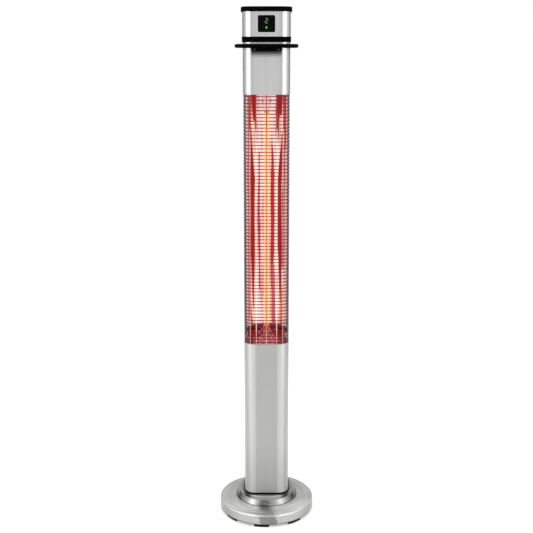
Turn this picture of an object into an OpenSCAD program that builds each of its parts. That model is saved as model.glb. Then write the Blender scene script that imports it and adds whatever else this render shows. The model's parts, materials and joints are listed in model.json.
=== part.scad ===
// Infrared patio heater tower: a rounded-square column on a round weighted base, with one upright
// heating tube behind a wire guard, a carry ring and a display head.
// Millimetres. +Z is up, the front faces -Y, and the origin is the middle of the footprint on the floor.

/* [Column] */
// Width and depth of the column
column_w = 120; // [110:1:130]
// Outer radius of the column's four upright corners
corner_r = 29; // [26:1:30]
// Sheet thickness of the column's sleeves
sheet_t = 1.2; // [1:0.1:1.4]
// Height of the lower sleeve
lower_sleeve_h = 430.5; // [380:0.5:480]
// Height of the open heating zone
guard_h = 656; // [600:1:720]
// Height of the neck sleeve
neck_h = 128; // [116:1:140]
// Clearance between a sleeve and what slides into it
fit_gap = 0.3; // [0.2:0.05:0.4]

/* [Base] */
// Diameter of the base
base_d = 260; // [255:1:280]
// Sheet thickness of the base cover
cover_t = 1.2; // [1:0.1:1.4]
// Height of the cover's flat hub over the floor
hub_h = 65; // [62:1:70]
// Radius of the raised hub
hub_r = 75; // [74:0.5:78]
// Radius of the groove at the foot of the hub's flank
groove_r = 84; // [82:0.5:88]
// Height of the groove over the floor
groove_h = 40; // [38:0.5:42]
// Height of the rim's shoulder over the floor
shoulder_h = 36; // [35:0.5:37]
// Height of the rubber pads
foot_h = 9; // [8:0.5:10]
// Number of rubber pads
foot_count = 8; // [6:1:8]
// Angle that one pad covers
foot_angle = 19; // [16:1:22]
// Turn of the ring of pads from the front
foot_turn = -6.3; // [-10:0.1:10]
// Thickness of the base plate
base_plate_t = 1.8; // [1.5:0.1:2]
// Thickness of the ballast disc
ballast_t = 16; // [14:0.5:18]
// Height of the gasket under the column
gasket_h = 4.5; // [4:0.5:6]

/* [Guard] */
// Diameter of a guard wire
wire_d = 2; // [1.6:0.1:2.4]
// Spacing of the horizontal wires
wire_pitch = 8.73; // [8:0.01:10]
// Distance of the outer front upright from the middle
upright_x = 27; // [24:1:30]
// Where the rear shell begins, behind the column's middle
shell_front_y = 20; // [16:1:22]

/* [Heating tube] */
// Outer diameter of the quartz tube
tube_d = 14; // [13:0.5:15]
// Wall of the quartz tube
tube_wall = 1.3; // [1:0.1:1.5]
// Distance of the tube's axis in front of the column's middle
tube_forward = 8; // [6:0.5:10]
// Height of the lower end cap
lower_cap_h = 38; // [37:1:44]
// Height of the upper end cap
upper_cap_h = 44; // [38:1:52]
// Radius of the glowing coil
coil_r = 3.4; // [3:0.1:3.6]
// Thickness of the coil's wire
coil_wire_d = 1.5; // [1.2:0.1:1.7]
// Number of turns of the coil
coil_turns = 44; // [36:1:48]

/* [Head] */
// Height of the black band between neck and head
band_h = 13.5; // [12:0.5:15]
// How far the band stands out from the column
band_proud = 1.8; // [1.6:0.05:2.4]
// Height of the head shell
head_h = 60.5; // [58:0.5:64]
// How far the head shell stands out from the column
head_proud = 1; // [0.8:0.1:1.2]
// Height of the cap
cap_h = 12; // [11:0.5:14]
// How far the cap stands out from the column
cap_proud = 4.25; // [4:0.05:4.5]
// Width of the display window
window_w = 43; // [40:0.5:46]
// Height of the sheet between the band and the display window
window_up = 10.5; // [9.5:0.5:12]
// Height of the sheet between the display window and the cap
window_down = 9; // [9:0.5:11]
// Corner radius of the display window
window_r = 4; // [3:0.5:5]

/* [Carry ring] */
// Thickness of the ring's bar
ring_bar_d = 10; // [9:0.5:11]
// Free space between the column and the ring
ring_gap = 10.5; // [10:0.5:13]
// Height of the ring's middle under the top of the neck
ring_drop = 9; // [8.5:0.5:10]
// Width of the ring's brackets
ring_bracket_w = 76; // [70:1:80]

/* [Moving parts] */
// Travel of the tip-over plunger
plunger_travel = 4; // [3:0.5:4.5]
// Radius of the plunger's stem
plunger_r = 3.5; // [3:0.1:3.8]
// Turns of the plunger's spring
spring_turns = 6; // [5:1:7]
// Tilt of the power rocker at rest, from its middle
rocker_tilt = 8; // [6:1:9]

/* [Hidden] */

$fn = 64;
// Every cut runs past its faces by this much
overrun = 1;
// Space left between two fixed pieces that would rub
rub_gap = 0.05;
// A right angle
quarter = 90;
// Rings of a wound wire in one turn
ring_steps = 8;

// Levels from the floor up
plate_z = foot_h;
ballast_z = plate_z + base_plate_t;
ballast_top = ballast_z + ballast_t;
sleeve_z = hub_h + gasket_h;
guard_z = sleeve_z + lower_sleeve_h;
neck_z = guard_z + guard_h;
band_z = neck_z + neck_h;
head_z = band_z + band_h;
cap_z = head_z + head_h;
ring_z = band_z - ring_drop;

// Inside of the sleeves
sleeve_inset = sheet_t + fit_gap;
half_w = column_w / 2;
flat_half = half_w - corner_r;

// Base
base_r = base_d / 2;
hub_fillet = 3;
flank_top_h = 54;
shoulder_fillet = 5;
annulus_slope = 8;
cable_hole_r = 20;
base_side_gap = 1.3;
plate_r = base_r - cover_t - base_side_gap;
ballast_margin = 9;
ballast_r = base_r - cover_t - ballast_margin;
foot_inset = 4;
foot_outer_r = base_r - foot_inset;
foot_width = 16;
foot_inner_r = foot_outer_r - foot_width;
foot_draft = 1.5;
plate_screw_inset = 6;
plate_screw_r = foot_inner_r - plate_screw_inset;
plate_screw_count = 4;
plate_screw_turn = 45;

// M8 bolts that hold the column to the ballast
bolt_in = 22;
bolt_x = half_w - bolt_in;
bolt_r = 4;
bolt_hole_r = 4.3;
bolt_head_af = 13;
bolt_head_h = 5.3;
counterbore_h = 6;
counterbore_r = 9;
nut_h = 6.5;
washer_t = 1.6;
washer_r = 8;
bolt_end = 2;
pillar_r = 8.5;

// Foot flange
flange_t = 4;
flange_wall = 2;
flange_h = 22;
gasket_w = 12;
flange_cable_r = 10;
flange_cable_y = 30;

// Screws with pan heads
screw_r = 2;
screw_head_r = 3.6;
screw_head_h = 2.1;
screw_len = 6;
screw_hole_gap = 0.1;
recess_w = 0.9;
recess_l = 4;
recess_d = 1.1;
rear_screw_x = 20;
foot_screw_up = 14;

// Tip-over switch
tip_wall = 3.5;
tip_cavity_r = 6.2;
tip_cavity_h = 20.5;
tip_ceiling = 2;
tip_ear_l = 40;
tip_ear_w = 18;
tip_ear_t = 2;
tip_body_l = 20;
tip_screw_x = 15;
tip_well_gap = 2;
tip_bore_gap = 0.3;
plunger_lift = 0.3;
plunger_chamfer = 1;
collar_gap = 0.5;
collar_r = 5.7;
collar_h = 2;
plunger_top_gap = 3.5;
spring_wire_r = 0.5;
spring_mean_r = 4.7;
spring_seat = 0.05;
tip_floor_z = ballast_z + tip_wall;
tip_ceiling_z = tip_floor_z + tip_cavity_h;
collar_z = tip_floor_z + collar_gap + plunger_travel;

// Cable gland in the back of the lower sleeve
gland_up = 39;
gland_z = sleeve_z + gland_up;
gland_thread_r = 8;
gland_bore_r = 4.2;
gland_body_bore_r = 5;
gland_hex_af = 20;
gland_hex_t = 5;
gland_inner_l = 13;
gland_nut_t = 5;
gland_cap_l = 14;
gland_cap_r = 9.4;
gland_cap_round = 3;

// Terminal block on the foot flange
terminal_l = 46;
terminal_w = 22;
terminal_h = 20;
terminal_ways = 3;
terminal_hole_r = 2.6;
terminal_hole_d = 12;
terminal_screw_hole_r = 2.2;
terminal_screw_hole_d = 5;
terminal_screw_hole_up = 6;

// Bulkheads that close the heating zone
bulkhead_t = 2.5;
bulkhead_wall = 1.5;
bulkhead_skirt = 22;
bulkhead_screw_in = 11;
tab_h = 16;
tab_half_w = 27;
tab_screw_in = 8;
lead_hole_r = 6;

// Rear shell, its vents and the guard's side rails
vent_l = 40;
vent_w = 4;
vent_pitch = 10;
vent_rows = 5;
vent_in = 40;
rail_t = 2;
rail_inner_l = 11;
rail_outer_l = 10;
rail_joggle = 2;
rivet_r = 1.6;
rivet_head_r = 3;
rivet_head_t = 0.7;
rail_rivet_count = 6;
rail_rivet_in = 24;
rail_rivet_back = 5;
wire_end_gap = 0.5;

// Guard wires
wire_r = wire_d / 2;
wire_count = floor(guard_h / wire_pitch);
wire_first = (guard_h - (wire_count - 1) * wire_pitch) / 2;
wire_end_y = shell_front_y - wire_end_gap;
upright_inset = 2 * wire_r + wire_r + rub_gap;
corner_upright_angle = 62;
side_upright_front = 20;
side_upright_rear = 2;

// Reflector and heat shield, as places across and behind the column's middle
reflector_t = 0.8;
reflector_x = half_w - 5;
reflector_lip_y = -22;
reflector_flange_y = 8;
fold_outer_x = 41;
fold_outer_y = -6;
fold_inner_x = 27;
fold_inner_y = 5;
fold_back_x = 10;
reflector_back_y = 12;
reflector_end_gap = 3;
shield_t = 1;
shield_front_y = 0;
shield_back_y = 36;
shield_rivet_y = 4;
shield_rivet_count = 4;
shield_rivet_in = 60;
shield_lead_x = 32;

// Heating tube
tube_r = tube_d / 2;
tube_y = -tube_forward;
tube_seat = 10;
end_cap_r = 10;
end_cap_rim_r = 12;
end_cap_rim_h = 4;
end_cap_bore_gap = 0.15;
end_cap_rim_in = 14;
lower_tube_z = guard_z + lower_cap_h - tube_seat;
upper_tube_z = neck_z - upper_cap_h + tube_seat;
glow_z = guard_z + lower_cap_h;
glow_top = neck_z - upper_cap_h;
clip_t = 1.5;
clip_h = 8;
clip_opening = 110;
clip_gap = 0.1;
clip_in = 18;
clip_screw_r = 1.5;
clip_screw_head_r = 2.8;
clip_screw_head_h = 1.6;
clip_pad_l = 19.6;
clip_screw_x = 6.8;
clip_screw_tail = 2;

// Leads inside the shells
lead_r = 1.5;

// Thermal cut-out on the heat shield
cutout_r = 8;
cutout_h = 7;
cutout_in = 100;
cutout_ear_l = 24;
cutout_ear_w = 7;
cutout_ear_t = 1;
cutout_tab_l = 8;
cutout_tab_w = 4;
cutout_tab_t = 0.8;
cutout_tab_x = 4;

// Carry ring and its two brackets
ring_bar_r = ring_bar_d / 2;
ring_seat_gap = 0.1;
ring_bracket_h = 8;
ring_bracket_lap = 3;
ring_bracket_out = 17;
ring_bracket_round = 3;
ring_screw_x = 29.5;
ring_screw_up = 4.3;
ring_screw_head_r = 3;
ring_screw_tail = 2.5;

// Power rocker in the back of the neck
rocker_z = neck_z + 56;
rocker_flange_w = 21;
rocker_flange_h = 31;
rocker_flange_t = 1.8;
rocker_body_w = 18;
rocker_body_h = 27;
rocker_body_d = 22;
rocker_wall = 1.2;
rocker_swing_r = 12;
rocker_side_gap = 0.3;
rocker_pivot_in = 2;
rocker_crown = 3.2;
rocker_dip = 1.6;
rocker_keel = 2.5;
rocker_pin_r = 1.5;
rocker_pin_gap = 0.06;
rocker_pin_l = 0.9;
rocker_body_gap = 0.2;
rocker_tab_w = 6.3;
rocker_tab_t = 0.8;
rocker_tab_l = 9;
rocker_tab_pitch = 7;

// Control board in the neck
board_base_t = 1.5;
board_base_d = 30;
board_bracket_w = 92;
board_bracket_h = 96;
board_standoff_l = 6;
board_standoff_r = 3;
board_t = 1.6;
board_w = 88;
board_h = 76;
board_up = 14;
board_hole_in = 5;
board_screw_r = 1.5;
board_wall_y = 2;
board_terminal_w = 14;
board_terminal_h = 12;
board_terminal_d = 9;
board_terminal_up = 2;
relay_size = [19, 15, 26];
relay_chamfer = 1;
transformer_size = [30, 24, 34];
transformer_core_t = 14;
transformer_core_proud = 3;
sink_size = [28, 22, 44];
sink_fins = 7;
sink_fin_t = 1.2;
sink_back_t = 3;
relay_place = [-26, 46];
transformer_place = [-26, 10];
sink_place = [26, 12];

// Band, head shell and what they hold
spigot_wall = 2;
spigot_in = 12;
spigot_up = 6;
band_lip_h = 3;
band_lip_step = 0.6;
band_floor_t = 2;
band_floor_hole_r = 30;
window_h = head_h - window_up - window_down;
window_gap = 0.15;
window_flange = 1.5;
window_flange_t = 1.6;
display_board_w = 61;
display_board_over = 1;
display_board_h = window_h + display_board_over;
display_post_l = 10.6;
display_post_r = 2.3;
display_post_x = 27;
display_post_in = 5;
digit_w = 12.5;
digit_h = 19;
digit_d = 7;
digit_over_middle = 6.9;
segment_l = 4.2;
segment_w = 1.4;
segment_t = 0.4;
light_under_digit = 15.8;
light_r = 2;
light_l = 7.6;
cap_round = 2.5;
cap_spigot_h = 7;
cap_screw_gap = 0.6;
cap_screw_in = screw_head_r + cap_screw_gap;

// A rounded square with true round corners
module rounded_square(size, radius) {
    inner = size - 2 * radius;
    square([size, inner], center = true);
    square([inner, size], center = true);
    for (x = [-1, 1], y = [-1, 1])
        translate([x * inner / 2, y * inner / 2])
            circle(r = radius);
}

// The column's outline in plan, moved in by inset all round, or out where inset is below zero
module column_outline(inset = 0) {
    rounded_square(column_w - 2 * inset, corner_r - inset);
}

// A wall that follows the column's outline
module column_wall(inset, wall) {
    difference() {
        column_outline(inset);
        column_outline(inset + wall);
    }
}

// Points along an arc, from one angle to another
function arc(centre, radius, from, to, steps = 8) =
    [for (i = [0:steps]) let (a = from + (to - from) * i / steps)
        centre + radius * [cos(a), sin(a)]];

function unit(v) = v / norm(v);
function right_of(v) = [v[1], -v[0]];

// A path moved sideways, to its right, with mitred corners
function moved_path(path, by) =
    let (last = len(path) - 1)
    [for (i = [0:last])
        let (
            before = right_of(unit(path[max(i, 1)] - path[max(i, 1) - 1])),
            after = right_of(unit(path[min(i + 1, last)] - path[min(i + 1, last) - 1]))
        )
        path[i] + by * (before + after) / (1 + before * after)];

// A sheet of even thickness on the right of a path
module sheet_on_path(path, thickness) {
    other = moved_path(path, thickness);
    last = len(path) - 1;
    polygon(concat(path, [for (i = [0:last]) other[last - i]]));
}

// Turns a piece built along +Z so that it points to the back or to the front
module facing_back() {
    rotate([-quarter, 0, 0])
        children();
}

module facing_front() {
    rotate([quarter, 0, 0])
        children();
}

// A pan-head screw: its seat is at z = 0, the head stands over it and the shank hangs under it
module pan_screw(length = screw_len, radius = screw_r, head_r = screw_head_r, head_h = screw_head_h) {
    difference() {
        union() {
            rotate_extrude()
                polygon([
                    [0, 0], [head_r, 0], [head_r, head_h / 2], [head_r - head_h / 2, head_h], [0, head_h]
                ]);
            translate([0, 0, -length])
                cylinder(r = radius, h = length + head_h / 2);
        }
        for (turn = [0, quarter])
            rotate(turn)
                translate([-recess_l / 2, -recess_w / 2, head_h - recess_d])
                    cube([recess_l, recess_w, recess_d + overrun]);
    }
}

// A hexagonal prism given by its width across the flats
module hexagon(across_flats, height) {
    cylinder(r = across_flats / (2 * cos(quarter / 3)), h = height, $fn = 6);
}

// A straight round rod that stands on z = 0
module rod(length, radius) {
    cylinder(r = radius, h = length);
}

// One unbroken round tube wound on a helix, with a straight run at both ends
function coil_rings(radius, z_low, z_high, turns, tail, per_turn) =
    let (steps = turns * per_turn, rise = (z_high - z_low) / steps)
    concat(
        [[radius, 0, z_low - tail]],
        [for (i = [0:steps])
            [radius * cos(i * 360 / per_turn), radius * sin(i * 360 / per_turn), z_low + i * rise]],
        [[radius, 0, z_high + tail]]
    );

// Least distance between rings of a tube that lie half a turn or more apart, less the tube's own width
function least_gap(rings, wire_r, per_turn) =
    min([for (i = [0:len(rings) - 1], j = [i + per_turn / 2:min(i + 2 * per_turn, len(rings) - 1)])
        norm(rings[j] - rings[i])]) - 2 * wire_r;

module wound_tube(rings, wire_r, sides = 6) {
    last = len(rings) - 1;
    points = [for (i = [0:last])
        let (
            ahead = rings[min(i + 1, last)] - rings[max(i - 1, 0)],
            // the tails stand upright, so their end faces lie flat on what they meet
            along = (i == 0 || i == last) ? [0, 0, 1] : unit(ahead),
            out = unit([rings[i][0], rings[i][1], 0]),
            side = unit(cross(along, out)),
            rise = cross(side, along)
        )
        for (k = [0:sides - 1])
            rings[i] + wire_r * (cos(360 * k / sides) * rise + sin(360 * k / sides) * side)];
    walls = [for (i = [0:last - 1], k = [0:sides - 1])
        let (a = i * sides + k, b = i * sides + (k + 1) % sides)
        each [[a, a + sides, b], [b, a + sides, b + sides]]];
    start = [for (k = [1:sides - 2]) [0, k, k + 1]];
    end = [for (k = [1:sides - 2]) [last * sides, last * sides + k + 1, last * sides + k]];
    polyhedron(points = points, faces = concat(walls, start, end), convexity = sides);
}

// The four places of the column's bolts
module at_bolts() {
    for (x = [-1, 1], y = [-1, 1])
        translate([x * bolt_x, y * bolt_x, 0])
            children();
}

module at_plate_screws() {
    for (i = [0:plate_screw_count - 1])
        rotate(plate_screw_turn + i * 360 / plate_screw_count)
            translate([plate_screw_r, 0, 0])
                children();
}

// Both rear screws of a joint, at a height, on the column's back face
module at_rear_screws(height, proud = 0) {
    for (x = [-1, 1])
        translate([x * rear_screw_x, half_w + proud, height])
            facing_back()
                children();
}

// Holes for the rear screws of a joint, through every sheet there
module rear_screw_holes(height) {
    at_rear_screws(height)
        translate([0, 0, -screw_len - overrun])
            cylinder(r = screw_r + screw_hole_gap, h = screw_len + head_proud + 2 * overrun);
}

foot_screw_z = sleeve_z + foot_screw_up;
lower_skirt_screw_z = guard_z - bulkhead_screw_in;
lower_tab_screw_z = guard_z + tab_screw_in;
upper_tab_screw_z = neck_z - tab_screw_in;
upper_skirt_screw_z = neck_z + bulkhead_screw_in;
band_screw_z = band_z - spigot_in / 2;
cap_screw_z = cap_z - cap_screw_in;

module rubber_feet() {
    color("#161616")
        for (i = [0:foot_count - 1])
            rotate(-quarter + foot_turn + i * 360 / foot_count - foot_angle / 2)
                rotate_extrude(angle = foot_angle)
                    polygon([
                        [foot_inner_r, foot_h], [foot_inner_r + foot_draft, 0],
                        [foot_outer_r - foot_draft, 0], [foot_outer_r, foot_h]
                    ]);
}

module base_plate() {
    color("#3a3c3e")
        translate([0, 0, plate_z])
            difference() {
                cylinder(r = plate_r, h = base_plate_t);
                translate([0, 0, -overrun])
                    cylinder(r = plunger_r + tip_bore_gap, h = base_plate_t + 2 * overrun);
                at_plate_screws()
                    translate([0, 0, -overrun])
                        cylinder(r = screw_r + screw_hole_gap, h = base_plate_t + 2 * overrun);
                for (x = [-1, 1])
                    translate([x * tip_screw_x, 0, -overrun])
                        cylinder(r = clip_screw_r + screw_hole_gap, h = base_plate_t + 2 * overrun);
            }
}

module base_plate_screws() {
    color("#b4b6b8")
        at_plate_screws()
            translate([0, 0, plate_z])
                rotate([2 * quarter, 0, 0])
                    pan_screw(length = ballast_t / 2);
}

module ballast_plate() {
    color("#2c2d2f")
        translate([0, 0, ballast_z])
            difference() {
                cylinder(r = ballast_r, h = ballast_t);
                translate([0, 0, -overrun])
                    cylinder(r = tip_ear_l / 2 + tip_well_gap, h = ballast_t + 2 * overrun);
                at_bolts() {
                    translate([0, 0, -overrun])
                        cylinder(r = bolt_hole_r, h = ballast_t + 2 * overrun);
                    translate([0, 0, -overrun])
                        cylinder(r = counterbore_r, h = counterbore_h + overrun);
                }
                at_plate_screws()
                    translate([0, 0, -overrun])
                        cylinder(r = screw_r + screw_hole_gap, h = ballast_t / 2 + 2 * overrun);
            }
}

// The spun cover's outer face, from the hub's hole down to the rim
function cover_path() = concat(
    [[cable_hole_r, hub_h]],
    arc([hub_r - hub_fillet, hub_h - hub_fillet], hub_fillet, quarter, 0, 4),
    [[hub_r, flank_top_h], [groove_r, groove_h]],
    arc(
        [base_r - shoulder_fillet, shoulder_h - shoulder_fillet], shoulder_fillet,
        quarter - annulus_slope, 0, 6
    ),
    [[base_r, foot_h]]
);

module base_cover() {
    color("#b9babb")
        difference() {
            rotate_extrude($fn = 128)
                sheet_on_path(cover_path(), cover_t);
            at_bolts()
                translate([0, 0, hub_h - cover_t - overrun])
                    cylinder(r = bolt_hole_r, h = cover_t + 2 * overrun);
        }
}

module base_pillars() {
    color("#8c8f92")
        at_bolts()
            translate([0, 0, ballast_top])
                difference() {
                    cylinder(r = pillar_r, h = hub_h - cover_t - ballast_top);
                    translate([0, 0, -overrun])
                        cylinder(r = bolt_hole_r, h = hub_h + 2 * overrun);
                }
}

bolt_seat_z = ballast_z + counterbore_h;
bolt_top_z = sleeve_z + flange_t + washer_t + nut_h + bolt_end;

module column_bolts() {
    color("#9a9da0")
        at_bolts() {
            translate([0, 0, bolt_seat_z - bolt_head_h])
                hexagon(bolt_head_af, bolt_head_h);
            translate([0, 0, bolt_seat_z - bolt_head_h / 2])
                cylinder(r = bolt_r, h = bolt_top_z - bolt_seat_z + bolt_head_h / 2);
        }
}

module column_nuts() {
    color("#a6a9ac")
        at_bolts()
            translate([0, 0, sleeve_z + flange_t])
                difference() {
                    union() {
                        cylinder(r = washer_r, h = washer_t);
                        translate([0, 0, washer_t])
                            hexagon(bolt_head_af, nut_h);
                    }
                    translate([0, 0, -overrun])
                        cylinder(r = bolt_r + rub_gap, h = washer_t + nut_h + 2 * overrun);
                }
}

module foot_gasket() {
    color("#1b1b1b")
        translate([0, 0, hub_h])
            linear_extrude(gasket_h)
                column_wall(0, gasket_w);
}

module foot_flange() {
    color("#7d8184")
        difference() {
            translate([0, 0, sleeve_z])
                union() {
                    linear_extrude(flange_t)
                        column_outline(sleeve_inset);
                    linear_extrude(flange_h)
                        column_wall(sleeve_inset, flange_wall);
                }
            at_bolts()
                translate([0, 0, sleeve_z - overrun])
                    cylinder(r = bolt_hole_r, h = flange_t + 2 * overrun);
            translate([0, flange_cable_y, sleeve_z - overrun])
                cylinder(r = flange_cable_r, h = flange_t + 2 * overrun);
            rear_screw_holes(foot_screw_z);
        }
}

module tip_switch_housing() {
    color("#202224")
        difference() {
            translate([0, 0, ballast_z]) {
                translate([-tip_ear_l / 2, -tip_ear_w / 2, 0])
                    cube([tip_ear_l, tip_ear_w, tip_ear_t]);
                translate([-tip_body_l / 2, -tip_ear_w / 2, 0])
                    cube([tip_body_l, tip_ear_w, tip_wall + tip_cavity_h + tip_ceiling]);
            }
            translate([0, 0, tip_floor_z])
                cylinder(r = tip_cavity_r, h = tip_cavity_h);
            translate([0, 0, ballast_z - overrun])
                cylinder(r = plunger_r + tip_bore_gap, h = tip_wall + 2 * overrun);
            for (x = [-1, 1])
                translate([x * tip_screw_x, 0, ballast_z - overrun])
                    cylinder(r = clip_screw_r + screw_hole_gap, h = tip_ear_t + 2 * overrun);
        }
}

module tip_switch_screws() {
    color("#b4b6b8")
        for (x = [-1, 1])
            translate([x * tip_screw_x, 0, ballast_z + tip_ear_t])
                pan_screw(tip_ear_t + base_plate_t, clip_screw_r, clip_screw_head_r, clip_screw_head_h);
}

module tip_switch_plunger() {
    color("#2a2b2d")
        rotate_extrude()
            polygon([
                [0, plunger_lift], [plunger_r - plunger_chamfer, plunger_lift],
                [plunger_r, plunger_lift + plunger_chamfer], [plunger_r, collar_z], [collar_r, collar_z],
                [collar_r, collar_z + collar_h], [plunger_r, collar_z + collar_h],
                [plunger_r, tip_ceiling_z - plunger_top_gap], [0, tip_ceiling_z - plunger_top_gap]
            ]);
}

spring_low = collar_z + collar_h + spring_seat;
spring_high = tip_ceiling_z - spring_seat;

module tip_switch_spring() {
    rings = coil_rings(
        spring_mean_r, spring_low + 2 * spring_wire_r, spring_high - 2 * spring_wire_r,
        spring_turns, 2 * spring_wire_r, ring_steps
    );
    echo(tip_switch_spring_least_gap_mm = least_gap(rings, spring_wire_r, ring_steps));
    color("#a8abae")
        wound_tube(rings, spring_wire_r);
}

module lower_sleeve() {
    color("#b5b6b5")
        difference() {
            translate([0, 0, sleeve_z])
                linear_extrude(lower_sleeve_h)
                    column_wall(0, sheet_t);
            rear_screw_holes(foot_screw_z);
            rear_screw_holes(lower_skirt_screw_z);
            translate([0, half_w, gland_z])
                facing_back()
                    translate([0, 0, -sheet_t - overrun])
                        cylinder(r = gland_thread_r + screw_hole_gap, h = sheet_t + 2 * overrun);
        }
}

module rear_screws() {
    color("#c2c4c6") {
        for (height = [foot_screw_z, lower_skirt_screw_z, lower_tab_screw_z, upper_tab_screw_z,
                upper_skirt_screw_z, band_screw_z])
            at_rear_screws(height)
                pan_screw();
        at_rear_screws(cap_screw_z, head_proud)
            pan_screw();
    }
}

module cable_gland_body() {
    color("#1d1e1f")
        translate([0, half_w, gland_z])
            facing_back()
                difference() {
                    union() {
                        hexagon(gland_hex_af, gland_hex_t);
                        translate([0, 0, -gland_inner_l])
                            cylinder(r = gland_thread_r, h = gland_inner_l + gland_hex_t / 2);
                    }
                    translate([0, 0, -gland_inner_l - overrun])
                        cylinder(r = gland_body_bore_r, h = gland_inner_l + gland_hex_t + 2 * overrun);
                }
}

module cable_gland_locknut() {
    color("#232425")
        translate([0, half_w - sheet_t, gland_z])
            facing_back()
                translate([0, 0, -gland_nut_t])
                    difference() {
                        hexagon(gland_hex_af, gland_nut_t);
                        translate([0, 0, -overrun])
                            cylinder(r = gland_thread_r + rub_gap, h = gland_nut_t + 2 * overrun);
                    }
}

module cable_gland_cap() {
    color("#1a1b1c")
        translate([0, half_w + gland_hex_t, gland_z])
            facing_back()
                rotate_extrude()
                    polygon(concat(
                        [[gland_bore_r, 0], [gland_cap_r, 0]],
                        arc([gland_cap_r - gland_cap_round, gland_cap_l - gland_cap_round],
                            gland_cap_round, 0, quarter, 6),
                        [[gland_bore_r, gland_cap_l]]
                    ));
}

module terminal_block() {
    pitch = terminal_l / terminal_ways;
    color("#d9d6cb")
        translate([-terminal_l / 2, tube_y - terminal_w / 2, sleeve_z + flange_t])
            difference() {
                cube([terminal_l, terminal_w, terminal_h]);
                for (i = [0:terminal_ways - 1]) {
                    translate([(i + 1 / 2) * pitch, terminal_w / 2, terminal_h - terminal_hole_d])
                        cylinder(r = terminal_hole_r, h = terminal_hole_d + overrun);
                    translate([
                        (i + 1 / 2) * pitch, terminal_screw_hole_d, terminal_h - terminal_screw_hole_up
                    ])
                        facing_front()
                            cylinder(r = terminal_screw_hole_r, h = terminal_screw_hole_d + overrun);
                }
            }
}

// A bulkhead with its plate's far face at z = 0, its skirt under it and its rear tab over it
module bulkhead(skirt_screw, tab_screw) {
    difference() {
        union() {
            translate([0, 0, -bulkhead_t])
                linear_extrude(bulkhead_t)
                    column_outline(sleeve_inset);
            translate([0, 0, -bulkhead_skirt])
                linear_extrude(bulkhead_skirt)
                    column_wall(sleeve_inset, bulkhead_wall);
            translate([-tab_half_w, half_w - sleeve_inset - bulkhead_wall, -bulkhead_t])
                cube([2 * tab_half_w, bulkhead_wall, tab_h + bulkhead_t]);
        }
        for (x = [-1, 1], height = [skirt_screw, tab_screw])
            translate([x * rear_screw_x, half_w, height])
                facing_back()
                    translate([0, 0, -screw_len - overrun])
                        cylinder(r = screw_r + screw_hole_gap, h = screw_len + 2 * overrun);
        for (x = [-1, 1])
            translate([x * shield_lead_x, (shield_back_y + half_w) / 2 - sheet_t, -bulkhead_t - overrun])
                cylinder(r = 2 * lead_r, h = bulkhead_t + 2 * overrun);
        translate([0, tube_y, -bulkhead_t - overrun])
            cylinder(r = lead_hole_r, h = bulkhead_t + 2 * overrun);
    }
}

module lower_bulkhead() {
    color("#8f9294")
        translate([0, 0, guard_z])
            bulkhead(-bulkhead_screw_in, tab_screw_in);
}

module upper_bulkhead() {
    color("#8f9294")
        translate([0, 0, neck_z])
            mirror([0, 0, 1])
                bulkhead(-bulkhead_screw_in, tab_screw_in);
}

module at_rail_rivets() {
    step = (guard_h - 2 * rail_rivet_in) / (rail_rivet_count - 1);
    for (side = [0, 1], i = [0:rail_rivet_count - 1])
        mirror([side, 0, 0])
            translate([half_w, shell_front_y + rail_rivet_back, guard_z + rail_rivet_in + i * step])
                rotate([0, quarter, 0])
                    children();
}

module vents(low) {
    for (i = [0:vent_rows - 1])
        translate([0, half_w, low + i * vent_pitch])
            rotate([quarter, 0, 0])
                translate([0, 0, -overrun])
                    linear_extrude(sheet_t + 2 * overrun)
                        for (x = [-1, 1])
                            translate([x * (vent_l - vent_w) / 4, 0])
                                square([(vent_l - vent_w) / 2, vent_w], center = true);
}

module rear_shell() {
    color("#b0b1b2")
        difference() {
            translate([0, 0, guard_z])
                linear_extrude(guard_h)
                    intersection() {
                        column_wall(0, sheet_t);
                        translate([-column_w, shell_front_y])
                            square([2 * column_w, column_w]);
                    }
            rear_screw_holes(lower_tab_screw_z);
            rear_screw_holes(upper_tab_screw_z);
            at_rail_rivets()
                translate([0, 0, -sheet_t - overrun])
                    cylinder(r = rivet_r + rub_gap, h = sheet_t + 2 * overrun);
            vents(guard_z + vent_in);
            vents(neck_z - vent_in - (vent_rows - 1) * vent_pitch);
        }
}

module heat_shield() {
    x = reflector_x - reflector_t - rub_gap;
    color("#9fa2a4")
        translate([0, 0, guard_z])
            difference() {
                linear_extrude(guard_h)
                    sheet_on_path(
                        [
                            [-x, shield_front_y], [-x, shield_back_y],
                            [x, shield_back_y], [x, shield_front_y]
                        ],
                        shield_t
                    );
                at_shield_rivets()
                    translate([0, 0, -overrun])
                        cylinder(r = rivet_r + rub_gap, h = 3 * overrun + shield_t);
            }
}

// The screws that hold the tube's clips, on the reflector's middle face, with z = 0 at that face
module at_clip_screws() {
    for (x = [-1, 1], height = [clip_in, guard_h - clip_in])
        translate([x * clip_screw_x, reflector_back_y, height])
            facing_front()
                children();
}

module at_shield_rivets() {
    step = (guard_h - 2 * shield_rivet_in) / (shield_rivet_count - 1);
    for (side = [0, 1], i = [0:shield_rivet_count - 1])
        mirror([side, 0, 0])
            translate([
                reflector_x - reflector_t - rub_gap - shield_t, shield_rivet_y, shield_rivet_in + i * step
            ])
                rotate([0, quarter, 0])
                    children();
}

// The polished sheet behind the tube, folded so that its faces throw the glow forward
function reflector_half() = [
    [reflector_x, reflector_flange_y], [reflector_x, reflector_lip_y], [fold_outer_x, fold_outer_y],
    [fold_inner_x, fold_inner_y], [fold_back_x, reflector_back_y]
];

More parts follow.
